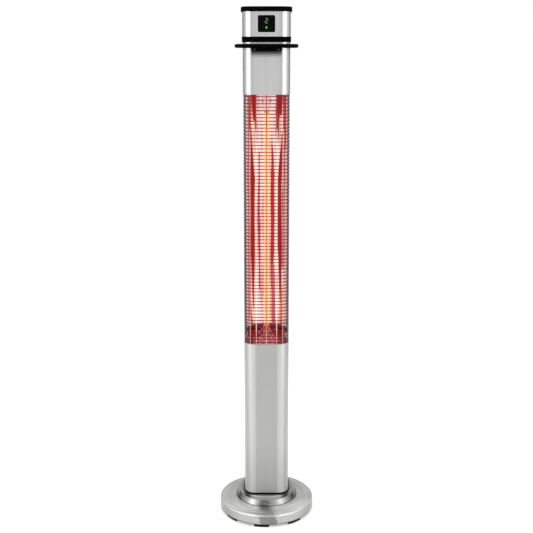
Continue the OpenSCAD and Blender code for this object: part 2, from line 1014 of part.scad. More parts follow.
module reflector() {
    half = reflector_half();
    last = len(half) - 1;
    path = concat(half, [for (i = [0:last]) [-half[last - i][0], half[last - i][1]]]);
    color("#d8d9da")
        translate([0, 0, guard_z])
            difference() {
                translate([0, 0, reflector_end_gap])
                    linear_extrude(guard_h - 2 * reflector_end_gap)
                        sheet_on_path(path, reflector_t);
                at_shield_rivets()
                    translate([0, 0, -overrun])
                        cylinder(r = rivet_r + rub_gap, h = 3 * overrun + shield_t + reflector_t);
                at_clip_screws()
                    translate([0, 0, -reflector_t - overrun])
                        cylinder(r = clip_screw_r + screw_hole_gap, h = reflector_t + 2 * overrun);
            }
}

// Rivets through the shield's and the reflector's flanges, with a formed head on both sides
module shield_rivets() {
    stack = shield_t + rub_gap + reflector_t;
    color("#a9acae")
        translate([0, 0, guard_z])
            at_shield_rivets()
                rotate_extrude()
                    polygon([
                        [0, -rivet_head_t], [rivet_head_r, -rivet_head_t], [rivet_head_r, 0], [rivet_r, 0],
                        [rivet_r, stack], [rivet_r + rivet_head_t, stack],
                        [rivet_r + rivet_head_t, stack + rivet_head_t], [0, stack + rivet_head_t]
                    ]);
}

// One round corner of a horizontal guard wire, and the straight run behind it; side 1 is the left one
module guard_bend(side) {
    mirror([side, 0, 0])
        translate([flat_half, -flat_half, 0])
            rotate(-quarter)
                rotate_extrude(angle = quarter)
                    translate([corner_r - wire_r, 0])
                        circle(r = wire_r);
}

module guard_leg(side) {
    mirror([side, 0, 0])
        translate([half_w - wire_r, -flat_half, 0])
            rotate([-quarter, 0, 0])
                rod(wire_end_y + flat_half, wire_r);
}

// One horizontal guard wire: straight across the front, round both corners and back along the sides
module guard_wire() {
    translate([-flat_half, -half_w + wire_r, 0])
        rotate([0, quarter, 0])
            rod(2 * flat_half, wire_r);
    guard_bend(0);
    guard_bend(1);
    guard_leg(0);
    guard_leg(1);
}

module guard_wires() {
    color("#c9cbcd")
        for (i = [0:wire_count - 1])
            translate([0, 0, guard_z + wire_first + i * wire_pitch])
                guard_wire($fn = 24);
}

module guard_uprights() {
    x_side = half_w - upright_inset;
    bend = corner_r - upright_inset;
    corner = [flat_half + bend * cos(corner_upright_angle), -flat_half - bend * sin(corner_upright_angle)];
    half = [[upright_x, -x_side], corner, [x_side, -side_upright_front], [x_side, -side_upright_rear]];
    color("#c2c4c6")
        translate([0, 0, guard_z]) {
            translate([0, -x_side, 0])
                rod(guard_h, wire_r);
            for (place = half, side = [-1, 1])
                translate([side * place[0], place[1], 0])
                    rod(guard_h, wire_r);
        }
}

// Joggled strips that close the wires' ends and lie behind the rear shell's front edges
module guard_rails() {
    inner_x = half_w - wire_d - rub_gap;
    outer_x = half_w - sheet_t - rub_gap;
    color("#aeb0b2")
        translate([0, 0, guard_z])
            for (side = [0, 1])
                mirror([side, 0, 0])
                    linear_extrude(guard_h)
                        polygon([
                            [inner_x - rail_t, wire_end_y - rail_inner_l],
                            [inner_x, wire_end_y - rail_inner_l],
                            [inner_x, wire_end_y],
                            [outer_x, wire_end_y],
                            [outer_x, wire_end_y + rail_outer_l],
                            [outer_x - rail_t, wire_end_y + rail_outer_l],
                            [outer_x - rail_t, wire_end_y + rail_joggle],
                            [inner_x - rail_t, wire_end_y + rail_joggle]
                        ]);
}

module rail_rivets() {
    color("#babcbe")
        at_rail_rivets()
            rotate_extrude()
                polygon([
                    [0, -sheet_t], [rivet_r, -sheet_t], [rivet_r, 0], [rivet_head_r, 0],
                    [rivet_r, rivet_head_t], [0, rivet_head_t]
                ]);
}

module quartz_tube() {
    color("#f2d6c4", 0.5)
        translate([0, tube_y, lower_tube_z])
            difference() {
                cylinder(r = tube_r, h = upper_tube_z - lower_tube_z);
                translate([0, 0, -overrun])
                    cylinder(r = tube_r - tube_wall, h = upper_tube_z - lower_tube_z + 2 * overrun);
            }
}

// The glowing coil, with straight tails that stand on the two end caps
module heating_coil() {
    rings = coil_rings(coil_r, glow_z, glow_top, coil_turns, tube_seat, ring_steps);
    echo(heating_coil_least_gap_mm = least_gap(rings, coil_wire_d / 2, ring_steps));
    color("#ff9a3c")
        translate([0, tube_y, 0])
            wound_tube(rings, coil_wire_d / 2);
}

// A ceramic end cap that stands on z = 0 and takes the tube's end in its top
module end_cap(height) {
    difference() {
        union() {
            cylinder(r = end_cap_r, h = height);
            translate([0, 0, height - end_cap_rim_in])
                cylinder(r = end_cap_rim_r, h = end_cap_rim_h);
        }
        translate([0, 0, height - tube_seat])
            cylinder(r = tube_r + end_cap_bore_gap, h = tube_seat + overrun);
        translate([0, 0, -overrun])
            cylinder(r = lead_r + rub_gap, h = tube_seat + overrun);
    }
}

module lower_end_cap() {
    color("#e6e0d4")
        translate([0, tube_y, guard_z])
            end_cap(lower_cap_h);
}

module upper_end_cap() {
    color("#e6e0d4")
        translate([0, tube_y, neck_z])
            mirror([0, 0, 1])
                end_cap(upper_cap_h);
}

// A spring clip round an end cap, on a foot that lies against the reflector
module tube_clip() {
    inner = end_cap_r + clip_gap;
    reach = reflector_back_y - tube_y;
    difference() {
        union() {
            cylinder(r = inner + clip_t, h = clip_h);
            translate([-clip_t, inner, 0])
                cube([2 * clip_t, reach - inner, clip_h]);
            translate([-clip_pad_l / 2, reach - clip_t, 0])
                cube([clip_pad_l, clip_t, clip_h]);
        }
        translate([0, 0, -overrun])
            cylinder(r = inner, h = clip_h + 2 * overrun);
        translate([0, 0, -overrun])
            linear_extrude(clip_h + 2 * overrun)
                polygon([
                    [0, 0], [-3 * inner * sin(clip_opening / 2), -3 * inner * cos(clip_opening / 2)],
                    [3 * inner * sin(clip_opening / 2), -3 * inner * cos(clip_opening / 2)]
                ]);
        for (x = [-1, 1])
            translate([x * clip_screw_x, reach, clip_h / 2])
                facing_front()
                    translate([0, 0, -overrun])
                        cylinder(r = clip_screw_r + screw_hole_gap, h = clip_t + 2 * overrun);
    }
}

module tube_clips() {
    color("#b9bbbd")
        for (height = [guard_z + clip_in, neck_z - clip_in])
            translate([0, tube_y, height - clip_h / 2])
                tube_clip();
}

module tube_clip_screws() {
    color("#c2c4c6")
        translate([0, 0, guard_z])
            at_clip_screws()
                translate([0, 0, clip_t])
                    pan_screw(clip_t + reflector_t + clip_screw_tail, clip_screw_r, clip_screw_head_r,
                        clip_screw_head_h);
}

// A snap-disc thermostat on the back of the heat shield
module thermal_cutout() {
    color("#3c3d40")
        translate([0, shield_back_y, neck_z - cutout_in])
            facing_back() {
                cylinder(r = cutout_r, h = cutout_h);
                translate([-cutout_ear_l / 2, -cutout_ear_w / 2, 0])
                    cube([cutout_ear_l, cutout_ear_w, cutout_ear_t]);
                for (x = [-1, 1])
                    translate([x * cutout_tab_x - cutout_tab_w / 2, -cutout_tab_t / 2, cutout_h])
                        cube([cutout_tab_w, cutout_tab_t, cutout_tab_l]);
            }
}

board_base_z = neck_z + bulkhead_t;
board_z = board_base_z + board_base_t + board_up;
board_front_y = board_wall_y - board_standoff_l - board_t;

// One lead from each end cap: down to the terminal block, and up to the control board
module heater_leads() {
    low = sleeve_z + flange_t + terminal_h - terminal_hole_d;
    color("#d8d2c0")
        translate([0, tube_y, 0]) {
            translate([0, 0, low])
                rod(guard_z + tube_seat - low, lead_r);
            translate([0, 0, neck_z - tube_seat])
                rod(board_z + board_terminal_up - neck_z + tube_seat, lead_r);
        }
}

module neck_sleeve() {
    color("#b9babb")
        difference() {
            translate([0, 0, neck_z])
                linear_extrude(neck_h)
                    column_wall(0, sheet_t);
            rear_screw_holes(upper_skirt_screw_z);
            rear_screw_holes(band_screw_z);
            at_ring_screws()
                translate([0, 0, -ring_bracket_out - 2 * sheet_t])
                    cylinder(r = screw_r + screw_hole_gap, h = 2 * sheet_t + overrun);
            translate([0, half_w, rocker_z])
                cube(
                    [rocker_body_w + 2 * rocker_body_gap, 4 * sheet_t, rocker_body_h + 2 * rocker_body_gap],
                    center = true
                );
        }
}

// The ring's bar, grown by extra all round
module ring_loop(extra = 0) {
    reach = half_w + ring_gap + ring_bar_r;
    bend_r = corner_r + ring_gap + ring_bar_r;
    for (i = [0:3])
        rotate(i * quarter) {
            translate([reach, -flat_half, 0])
                rotate([-quarter, 0, 0])
                    rod(2 * flat_half, ring_bar_r + extra);
            translate([flat_half, flat_half, 0])
                rotate_extrude(angle = quarter)
                    translate([bend_r, 0])
                        circle(r = ring_bar_r + extra);
        }
}

module carry_ring() {
    color("#141414")
        translate([0, 0, ring_z])
            ring_loop();
}

ring_bracket_z = ring_z - ring_bar_r - ring_bracket_h;

// Both screws of each bracket, with z = 0 on the bracket's outer face
module at_ring_screws() {
    for (side = [0, 1], x = [-1, 1])
        mirror([0, side, 0])
            translate([x * ring_screw_x, -half_w - ring_bracket_out, ring_bracket_z + ring_screw_up])
                facing_front()
                    children();
}

// A block on the neck that cradles the ring's bar, with its two lower corners rounded
module ring_bracket() {
    half = ring_bracket_w / 2;
    top = ring_bracket_h + ring_bracket_lap;
    color("#151515")
        difference() {
            translate([0, -half_w, ring_bracket_z])
                facing_front()
                    linear_extrude(ring_bracket_out)
                        polygon(concat(
                            [[half, top], [-half, top]],
                            arc([ring_bracket_round - half, ring_bracket_round], ring_bracket_round,
                                2 * quarter, 3 * quarter, 5),
                            arc([half - ring_bracket_round, ring_bracket_round], ring_bracket_round,
                                3 * quarter, 4 * quarter, 5)
                        ));
            translate([0, 0, ring_z])
                ring_loop(ring_seat_gap);
            at_ring_screws()
                translate([0, 0, -ring_bracket_out - overrun])
                    cylinder(r = screw_r + screw_hole_gap, h = ring_bracket_out + 2 * overrun);
        }
}

module ring_bracket_front() {
    ring_bracket();
}

module ring_bracket_rear() {
    mirror([0, 1, 0])
        ring_bracket();
}

module ring_bracket_screws() {
    color("#4a4b4d")
        at_ring_screws()
            pan_screw(ring_bracket_out + ring_screw_tail, screw_r, ring_screw_head_r);
}

rocker_cavity_h = 2 * (rocker_swing_r + rocker_side_gap);
rocker_cavity_w = rocker_body_w - 2 * rocker_wall;
rocker_pivot_y = half_w + rocker_flange_t - rocker_pivot_in;

module rocker_housing() {
    color("#171717")
        difference() {
            translate([0, half_w, rocker_z])
                facing_back() {
                    translate([-rocker_flange_w / 2, -rocker_flange_h / 2, 0])
                        cube([rocker_flange_w, rocker_flange_h, rocker_flange_t]);
                    translate([-rocker_body_w / 2, -rocker_body_h / 2, -rocker_body_d])
                        cube([rocker_body_w, rocker_body_h, rocker_body_d + rocker_flange_t / 2]);
                }
            translate([-rocker_cavity_w / 2, rocker_pivot_y - rocker_swing_r - rocker_side_gap,
                    rocker_z - rocker_cavity_h / 2])
                cube([
                    rocker_cavity_w, rocker_swing_r + rocker_pivot_in + rocker_flange_t, rocker_cavity_h
                ]);
            translate([-rocker_body_w / 2, rocker_pivot_y, rocker_z])
                rotate([0, quarter, 0])
                    cylinder(r = rocker_pin_r + rocker_pin_gap, h = rocker_body_w);
        }
}

// The rocker's profile about its pivot: a shallow V on the outside between two round ends
module rocker_profile() {
    crown = asin(rocker_crown / rocker_swing_r);
    keel = asin(rocker_keel / rocker_swing_r);
    polygon(concat(
        [[0, rocker_dip]],
        arc([0, 0], rocker_swing_r, crown, -keel, 4),
        arc([0, 0], rocker_swing_r, 2 * quarter + keel, 2 * quarter - crown, 4)
    ));
}

module rocker_paddle() {
    width = rocker_cavity_w - 2 * rocker_side_gap;
    color("#1f1f1f")
        translate([0, rocker_pivot_y, rocker_z])
            rotate([rocker_tilt, 0, 0]) {
                rotate([quarter, 0, quarter])
                    translate([0, 0, -width / 2])
                        linear_extrude(width)
                            rotate(-quarter)
                                mirror([1, 0])
                                    rocker_profile();
                translate([-width / 2 - rocker_pin_l, 0, 0])
                    rotate([0, quarter, 0])
                        cylinder(r = rocker_pin_r, h = width + 2 * rocker_pin_l);
            }
}

module rocker_terminals() {
    color("#c7b27a")
        for (i = [-1:1])
            translate([-rocker_tab_w / 2, half_w - rocker_body_d - rocker_tab_l,
                    rocker_z + i * rocker_tab_pitch - rocker_tab_t / 2])
                cube([rocker_tab_w, rocker_tab_l, rocker_tab_t]);
}

// A bent plate: its foot lies on the upper bulkhead and its wall carries the control board
module board_bracket() {
    color("#8f9294")
        translate([-board_bracket_w / 2, board_wall_y, board_base_z]) {
            cube([board_bracket_w, board_base_d, board_base_t]);
            cube([board_bracket_w, board_base_t, board_bracket_h]);
        }
}

module at_board_holes() {
    for (x = [-1, 1], height = [board_hole_in, board_h - board_hole_in])
        translate([x * (board_w / 2 - board_hole_in), board_wall_y, board_z + height])
            facing_front()
                children();
}

// Stand-offs between the bracket and the board, each with the screw that holds the board
module board_standoffs() {
    color("#c9a94f")
        at_board_holes() {
            cylinder(r = board_standoff_r, h = board_standoff_l);
            cylinder(r = board_screw_r, h = board_standoff_l + board_t);
            translate([0, 0, board_standoff_l + board_t])
                cylinder(r = board_standoff_r, h = board_t);
        }
}

module control_board() {
    color("#1f5a3a")
        difference() {
            union() {
                translate([-board_w / 2, board_front_y, board_z])
                    cube([board_w, board_t, board_h]);
                translate([
                    -board_terminal_w / 2, board_front_y - board_terminal_d, board_z + board_terminal_up
                ])
                    cube([board_terminal_w, board_terminal_d + board_t / 2, board_terminal_h]);
            }
            at_board_holes()
                translate([0, 0, board_standoff_l - overrun])
                    cylinder(r = board_screw_r + screw_hole_gap, h = board_t + 2 * overrun);
        }
}

// Puts a part of the given size on the board's front face, its middle at x and its foot at height
module on_board(place, size) {
    translate([place[0] - size[0] / 2, board_front_y - size[1], board_z + place[1]])
        children();
}

module relay() {
    color("#2b4f8f")
        on_board(relay_place, relay_size)
            translate([0, 0, relay_size[2]])
                rotate([0, quarter, 0])
                    linear_extrude(relay_size[0])
                        polygon([
                            [0, relay_size[1]], [0, relay_chamfer], [relay_chamfer, 0],
                            [relay_size[2] - relay_chamfer, 0], [relay_size[2], relay_chamfer],
                            [relay_size[2], relay_size[1]]
                        ]);
}

// Windings in the middle, with the laminated core round them
module transformer() {
    core_in = (transformer_size[2] - transformer_core_t) / 2;
    proud = transformer_core_proud;
    color("#8a6b3a")
        on_board(transformer_place, transformer_size) {
            translate([proud, 0, 0])
                cube([transformer_size[0] - 2 * proud, transformer_size[1], transformer_size[2]]);
            translate([0, proud, core_in])
                cube([transformer_size[0], transformer_size[1] - 2 * proud, transformer_core_t]);
        }
}

module heat_sink() {
    step = (sink_size[0] - sink_fin_t) / (sink_fins - 1);
    color("#b8babc")
        on_board(sink_place, sink_size) {
            translate([0, sink_size[1] - sink_back_t, 0])
                cube([sink_size[0], sink_back_t, sink_size[2]]);
            for (i = [0:sink_fins - 1])
                translate([i * step, 0, 0])
                    cube([sink_fin_t, sink_size[1], sink_size[2]]);
        }
}

head_inset = sheet_t - head_proud;
head_spigot_inset = head_inset + fit_gap;

// The collar between neck and head, with a spigot into each and a floor across
module head_band() {
    color("#151515")
        difference() {
            union() {
                translate([0, 0, band_z])
                    linear_extrude(band_h)
                        column_outline(-band_proud);
                translate([0, 0, head_z - band_lip_h])
                    linear_extrude(band_lip_h)
                        column_outline(-band_proud - band_lip_step);
                translate([0, 0, band_z - spigot_in])
                    linear_extrude(spigot_in + band_floor_t)
                        column_outline(sleeve_inset);
                translate([0, 0, head_z - band_floor_t])
                    linear_extrude(spigot_up + band_floor_t)
                        column_outline(head_spigot_inset);
            }
            translate([0, 0, band_z - spigot_in - overrun])
                linear_extrude(spigot_in + overrun)
                    column_outline(sleeve_inset + spigot_wall);
            translate([0, 0, band_z + band_floor_t])
                linear_extrude(head_h)
                    column_outline(head_spigot_inset + spigot_wall);
            translate([0, 0, band_z - overrun])
                cylinder(r = band_floor_hole_r, h = band_floor_t + 2 * overrun);
            rear_screw_holes(band_screw_z);
        }
}

window_z = head_z + window_up + window_h / 2;
digit_z = window_z + digit_over_middle;

// Turns a flat outline so that it faces the front, with its back on the plane y
module upright_slab(y, thickness) {
    translate([0, y, window_z])
        facing_front()
            linear_extrude(thickness)
                children();
}

module window_outline(grown = 0) {
    w = window_w + 2 * grown;
    h = window_h + 2 * grown;
    r = window_r + grown;
    square([w, h - 2 * r], center = true);
    square([w - 2 * r, h], center = true);
    for (x = [-1, 1], y = [-1, 1])
        translate([x * (w / 2 - r), y * (h / 2 - r)])
            circle(r = r);
}

head_face_y = -half_w - head_proud;
head_back_y = head_face_y + sheet_t;

module head_shell() {
    color("#b9babb")
        difference() {
            translate([0, 0, head_z])
                linear_extrude(head_h)
                    column_wall(-head_proud, sheet_t);
            upright_slab(head_back_y + overrun, sheet_t + 2 * overrun)
                window_outline();
            at_rear_screws(cap_screw_z, head_proud)
                translate([0, 0, -sheet_t - overrun])
                    cylinder(r = screw_r + screw_hole_gap, h = sheet_t + 2 * overrun);
        }
}

// The dark window: flush in the shell's opening, with a flange behind the sheet
module display_window() {
    color("#101010", 0.8) {
        upright_slab(head_back_y, sheet_t)
            window_outline(-window_gap);
        upright_slab(head_back_y + window_flange_t, window_flange_t)
            window_outline(window_flange);
    }
}

display_y = head_back_y + display_post_l;

module display_board() {
    color("#1f5a3a")
        translate([0, display_y, window_z]) {
            translate([-display_board_w / 2, 0, -display_board_h / 2])
                cube([display_board_w, board_t, display_board_h]);
            for (x = [-1, 1], z = [-1, 1])
                translate([x * display_post_x, board_t / 2, z * (display_board_h / 2 - display_post_in)])
                    facing_front()
                        cylinder(r = display_post_r, h = display_post_l + board_t / 2);
        }
}

module digit_module() {
    color("#0d0d0d")
        translate([-digit_w / 2, display_y - digit_d, digit_z - digit_h / 2])
            cube([digit_w, digit_d, digit_h]);
}

// The lit bars of a figure two, as places of their middles and whether each lies flat
segment_step_share = 1 / 2;
lit_bars_share = [
    [0, 1, true], [segment_step_share, segment_step_share, false], [0, 0, true],
    [-segment_step_share, -segment_step_share, false], [0, -1, true]
];

module digit_segments() {
    pitch = segment_l + segment_w;
    color("#59c46a")
        translate([0, display_y - digit_d - segment_t, digit_z])
            for (bar = lit_bars_share)
                translate([bar[0] * pitch, segment_t / 2, bar[1] * pitch])
                    cube([bar[2] ? segment_l : segment_w, segment_t, bar[2] ? segment_w : segment_l],
                        center = true);
}

module power_light() {
    color("#3adf3c")
        translate([0, display_y, digit_z - light_under_digit])
            facing_front() {
                cylinder(r = light_r, h = light_l - light_r);
                translate([0, 0, light_l - light_r])
                    sphere(r = light_r);
            }
}

// The cap: one smooth slab with its upper edge rounded, over a spigot that fits the head
module top_cap() {
    radius = corner_r + cap_proud;
    color("#121212") {
        translate([0, 0, cap_z])
            hull()
                for (x = [-1, 1], y = [-1, 1])
                    translate([x * flat_half, y * flat_half, 0])
                        rotate_extrude($fn = 48)
                            polygon(concat(
                                [[0, 0], [radius, 0]],
                                arc([radius - cap_round, cap_h - cap_round], cap_round, 0, quarter, 4),
                                [[0, cap_h]]
                            ));
        difference() {
            translate([0, 0, cap_z - cap_spigot_h])
                linear_extrude(cap_spigot_h + cap_round)
                    column_wall(head_spigot_inset, spigot_wall);
            rear_screw_holes(cap_screw_z);
        }
    }
}

rubber_feet();
base_plate();
base_plate_screws();
ballast_plate();
base_cover();
base_pillars();
column_bolts();
column_nuts();
foot_gasket();
foot_flange();
tip_switch_housing();
tip_switch_screws();
tip_switch_plunger();
tip_switch_spring();
lower_sleeve();
rear_screws();
cable_gland_body();
cable_gland_locknut();
cable_gland_cap();
terminal_block();
lower_bulkhead();
upper_bulkhead();
rear_shell();
heat_shield();
reflector();
shield_rivets();
guard_wires();
guard_uprights();
guard_rails();
rail_rivets();
quartz_tube();
heating_coil();
lower_end_cap();
upper_end_cap();
tube_clips();
tube_clip_screws();
thermal_cutout();
heater_leads();
neck_sleeve();
carry_ring();
ring_bracket_front();
ring_bracket_rear();
ring_bracket_screws();
rocker_housing();
rocker_paddle();
rocker_terminals();
board_bracket();
board_standoffs();
control_board();
relay();
transformer();
heat_sink();
head_band();
head_shell();
display_window();
display_board();
digit_module();
digit_segments();
power_light();
top_cap();
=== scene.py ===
"""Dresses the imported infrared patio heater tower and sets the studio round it. Lengths are in metres."""
import json
import math

import bmesh
import bpy
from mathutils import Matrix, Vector


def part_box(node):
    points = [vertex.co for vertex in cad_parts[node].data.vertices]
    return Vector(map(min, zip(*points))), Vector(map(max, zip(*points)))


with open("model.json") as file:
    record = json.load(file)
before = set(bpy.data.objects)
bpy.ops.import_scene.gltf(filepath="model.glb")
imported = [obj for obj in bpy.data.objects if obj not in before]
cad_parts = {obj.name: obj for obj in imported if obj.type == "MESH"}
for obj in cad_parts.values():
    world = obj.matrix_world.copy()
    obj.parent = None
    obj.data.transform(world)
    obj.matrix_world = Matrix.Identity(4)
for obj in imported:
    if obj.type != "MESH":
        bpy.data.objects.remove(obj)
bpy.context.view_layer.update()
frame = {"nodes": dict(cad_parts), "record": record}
nodes = frame["nodes"]

# Dimensions that the pieces' boxes don't give: the column's corner radius, how far the base's rim and
# flank lie below the hub's top, and how far in from the rim the groove lies
CORNER_RADIUS = 0.029
RIM_TOP_DROP = 0.029
FLANK_TOP_DROP = 0.011
GROOVE_INSET = 0.0458

# Levels and widths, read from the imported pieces
glow_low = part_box("lower_end_cap")[1].z
glow_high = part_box("upper_end_cap")[0].z
guard_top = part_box("neck_sleeve")[0].z
bracket_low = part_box("ring_bracket_front")[0].z
column_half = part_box("neck_sleeve")[1].x
rim_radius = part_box("base_cover")[1].x
rim_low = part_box("base_cover")[0].z
rim_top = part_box("base_cover")[1].z - RIM_TOP_DROP
flank_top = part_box("base_cover")[1].z - FLANK_TOP_DROP
groove_radius = rim_radius - GROOVE_INSET

# Where the photographer stood: in front, level with the carry ring
CAMERA_PLACE = (0.0, -2.45, 1.274)


def paint(red, green, blue):
    """A screen colour from 0 to 255, as the linear colour that a shader takes."""
    def linear(value):
        value = value / 255
        return value / 12.92 if value <= 0.04045 else ((value + 0.055) / 1.055) ** 2.4
    return (linear(red), linear(green), linear(blue), 1.0)


def grey(level):
    """A linear grey."""
    return (level, level, level, 1.0)


def shade(colour, factor):
    """A colour made lighter or darker by a factor."""
    return tuple(min(part * factor, 1.0) for part in colour[:3]) + (1.0,)


class Look:
    """One node material, with short calls for the nodes that the looks share."""

    def __init__(self, name):
        self.material = bpy.data.materials.new(name)
        self.material.use_nodes = True
        self.tree = self.material.node_tree
        self.tree.nodes.clear()
        self.output = self.tree.nodes.new("ShaderNodeOutputMaterial")
        self.place = self.tree.nodes.new("ShaderNodeTexCoord").outputs["Object"]

    def node(self, kind, settings=None, **inputs):
        """Adds a node, sets its options and fills its inputs with values or other sockets."""
        made = self.tree.nodes.new(kind)
        for key, value in (settings or {}).items():
            setattr(made, key, value)
        for key, value in inputs.items():
            wanted = key.replace("_", " ")
            socket = next(s for s in made.inputs if s.name == wanted and s.enabled)
            self.fill(socket, value)
        return made

    def fill(self, socket, value):
        if isinstance(value, bpy.types.NodeSocket):
            self.tree.links.new(value, socket)
        else:
            socket.default_value = value

    def math(self, operation, first, second=0.0):
        made = self.tree.nodes.new("ShaderNodeMath")
        made.operation = operation
        self.fill(made.inputs[0], first)
        self.fill(made.inputs[1], second)
        return made.outputs[0]

    def away(self, value, middle=0.0):
        """How far a value is from the middle."""
        return self.math("ABSOLUTE", self.math("SUBTRACT", value, middle))

    def length(self, first, second):
        """How far off a point is, from its two coordinates."""
        squares = [self.math("MULTIPLY", part, part) for part in (first, second)]
        return self.math("SQRT", self.math("ADD", *squares))

    def stretched(self, scale):
        """The object's own coordinates, stretched by a factor along each axis."""
        return self.node("ShaderNodeMapping", Vector=self.place, Scale=scale).outputs[0]

    def axes(self):
        parts = self.node("ShaderNodeSeparateXYZ", Vector=self.place)
        return parts.outputs["X"], parts.outputs["Y"], parts.outputs["Z"]

    def noise(self, vector, scale=1.0, detail=3.0, rough=0.5):
        made = self.node("ShaderNodeTexNoise", Vector=vector, Scale=scale, Detail=detail, Roughness=rough)
        return made.outputs["Fac"]

    def spread(self, value, low, high, from_low=0.3, from_high=0.7, smooth=False):
        """Maps a noise or a coordinate from one range to another, and stops at the range's ends."""
        made = self.tree.nodes.new("ShaderNodeMapRange")
        if smooth:
            made.interpolation_type = "SMOOTHSTEP"
        for socket, number in zip(made.inputs, (value, from_low, from_high, low, high)):
            self.fill(socket, number)
        return made.outputs[0]

    def ramp(self, value, stops):
        """A colour from a row of stops, each a place from 0 to 1 and a colour."""
        made = self.tree.nodes.new("ShaderNodeValToRGB")
        steps = made.color_ramp.elements
        steps.remove(steps[-1])
        steps[0].position, steps[0].color = stops[0]
        for where, colour in stops[1:]:
            steps.new(where).color = colour
        self.fill(made.inputs[0], value)
        return made.outputs[0]

    def mix(self, amount, first, second, blend="MIX"):
        made = self.tree.nodes.new("ShaderNodeMix")
        made.data_type = "RGBA"
        made.blend_type = blend
        self.fill(made.inputs[0], amount)
        self.fill(made.inputs[6], first)
        self.fill(made.inputs[7], second)
        return made.outputs[2]

    def bump(self, height, strength, distance):
        return self.node("ShaderNodeBump", Height=height, Strength=strength, Distance=distance).outputs[0]

    def surface(self, **inputs):
        """The main shader, from values and sockets, joined to the material's output."""
        shader = self.node("ShaderNodeBsdfPrincipled", **inputs)
        self.tree.links.new(shader.outputs[0], self.output.inputs[0])
        return self.material

    def clear_skin(self, tint, share, **inputs):
        """A see-through material: a share of it is surface, and the rest lets tinted light through."""
        through = self.node("ShaderNodeBsdfTransparent", Color=tint).outputs[0]
        skin = self.node("ShaderNodeBsdfPrincipled", **inputs).outputs[0]
        both = self.node("ShaderNodeMixShader", Fac=share)
        self.tree.links.new(through, both.inputs[1])
        self.tree.links.new(skin, both.inputs[2])
        self.tree.links.new(both.outputs[0], self.output.inputs[0])
        return self.material


# Painted highlight and shade where the sheet turns a corner, for the lamps' reflections in the steel:
# distance in from the nearer pair of sides, then the factor
NECK_CORNER_LIGHT_AND_SHADE = [
    (0.0, 1.00), (0.028, 1.00), (0.033, 0.94), (0.037, 0.80), (0.0395, 0.98), (0.0485, 0.95),
]
SLEEVE_CORNER_LIGHT_AND_SHADE = [
    (0.0, 0.97), (0.0278, 0.97), (0.0297, 1.18), (0.036, 1.30), (0.044, 1.26), (0.0485, 1.02),
]

# Stretch of the brushed steel's grain along each axis
UPRIGHT_GRAIN = (1400, 1400, 9)
CLOUD_GRAIN = (9, 9, 2.5)
STREAK_GRAIN = (110, 110, 1.2)

# Painted shade on the lower sleeve towards its foot, for the dark base mirrored in it: how far up it
# reaches, and how strong it is at the foot
FOOT_RISE = 0.18
FOOT_PAINTED_SHADE = 0.28

# Shadow of the ring's front bracket on the neck: how far it reaches below the bracket's foot, and above it
# behind the bracket and the ring, how strong it is, the distances from the middle over which its sides
# fade, and the depths over which the front face ends
SHADOW_DROP = 0.018
SHADOW_RISE = 0.012
SHADOW_STRENGTH = 0.9
SHADOW_SIDES = (0.036, 0.041)
FRONT_FACE = (-0.05, -0.04)


def painted_corner_light_and_shade(look, east, north, corner):
    """The factor on a sheet's colour, from the list of painted highlight and shade for its corners."""
    inward = look.math("MINIMUM", look.away(east), look.away(north))
    reach = corner[-1][0]
    return look.ramp(look.spread(inward, 0.0, 1.0, 0.0, reach),
                     [(where / reach, grey(level)) for where, level in corner])


def bracket_shadow(look, east, north, up, shadow_z):
    """How dark the ring's bracket makes the front: full at its foot, shadow_z, and fading downwards."""
    below = look.spread(up, 0.0, SHADOW_STRENGTH, shadow_z - SHADOW_DROP, shadow_z, smooth=True)
    in_width = look.spread(look.away(east), 1.0, 0.0, *SHADOW_SIDES)
    in_front = look.spread(north, 1.0, 0.0, *FRONT_FACE)
    shadow_top = shadow_z + SHADOW_RISE
    under_top = look.spread(up, 1.0, 0.0, shadow_top, shadow_top + 0.001)
    under = look.math("MULTIPLY", in_width, in_front)
    return look.math("MULTIPLY", look.math("MULTIPLY", below, under), under_top)


def brushed_steel(name, colour, rough, variation=0.06, corner=None, shadow_z=None, foot_z=None):
    """Steel sheet with fine upright scratches.

    Corner gives the painted highlight and shade round the column's corners. Shadow_z is the height of the
    foot of the ring's bracket, which shades the front, and foot_z that of the sheet's own foot, where
    painted shade darkens it, fading upwards.
    """
    look = Look(name)
    east, north, up = look.axes()
    fine = look.noise(look.stretched(UPRIGHT_GRAIN), 1.0, 4.0, 0.65)
    clouds = look.noise(look.stretched(CLOUD_GRAIN), 1.0, 2.0)
    streak = look.noise(look.stretched(STREAK_GRAIN), 1.0, 3.0, 0.6)
    low, high = shade(colour, 1 - variation), shade(colour, 1 + variation)
    tone = look.mix(look.spread(fine, 0.0, 1.0), low, high)
    tone = look.mix(look.spread(clouds, 0.0, 0.25), tone, shade(colour, 1 - 1.5 * variation))
    tone = look.mix(look.spread(streak, 0.0, 0.35, 0.42, 0.66), tone, shade(colour, 1 - 2.0 * variation))
    # painted highlight and shade round the corners
    if corner:
        tone = look.mix(1.0, tone, painted_corner_light_and_shade(look, east, north, corner), "MULTIPLY")
    # painted shade on the sheet towards its foot
    if foot_z:
        foot_shade = look.spread(up, FOOT_PAINTED_SHADE, 0.0, foot_z, foot_z + FOOT_RISE, smooth=True)
        tone = look.mix(foot_shade, tone, shade(colour, 0.40))
    if shadow_z:
        tone = look.mix(bracket_shadow(look, east, north, up, shadow_z), tone, grey(0.004))
    return look.surface(
        Base_Color=tone, Metallic=1.0, Roughness=look.spread(fine, rough - 0.05, rough + 0.07),
        Normal=look.bump(fine, 0.06, 0.0003))


def uneven_tone(look, colour, variation, scale):
    """A noise in broad patches, and the colour made a little darker and lighter by it."""
    broad = look.noise(look.place, scale, 3.0)
    low, high = shade(colour, 1 - variation), shade(colour, 1 + variation)
    return broad, look.mix(look.spread(broad, 0.0, 1.0), low, high)


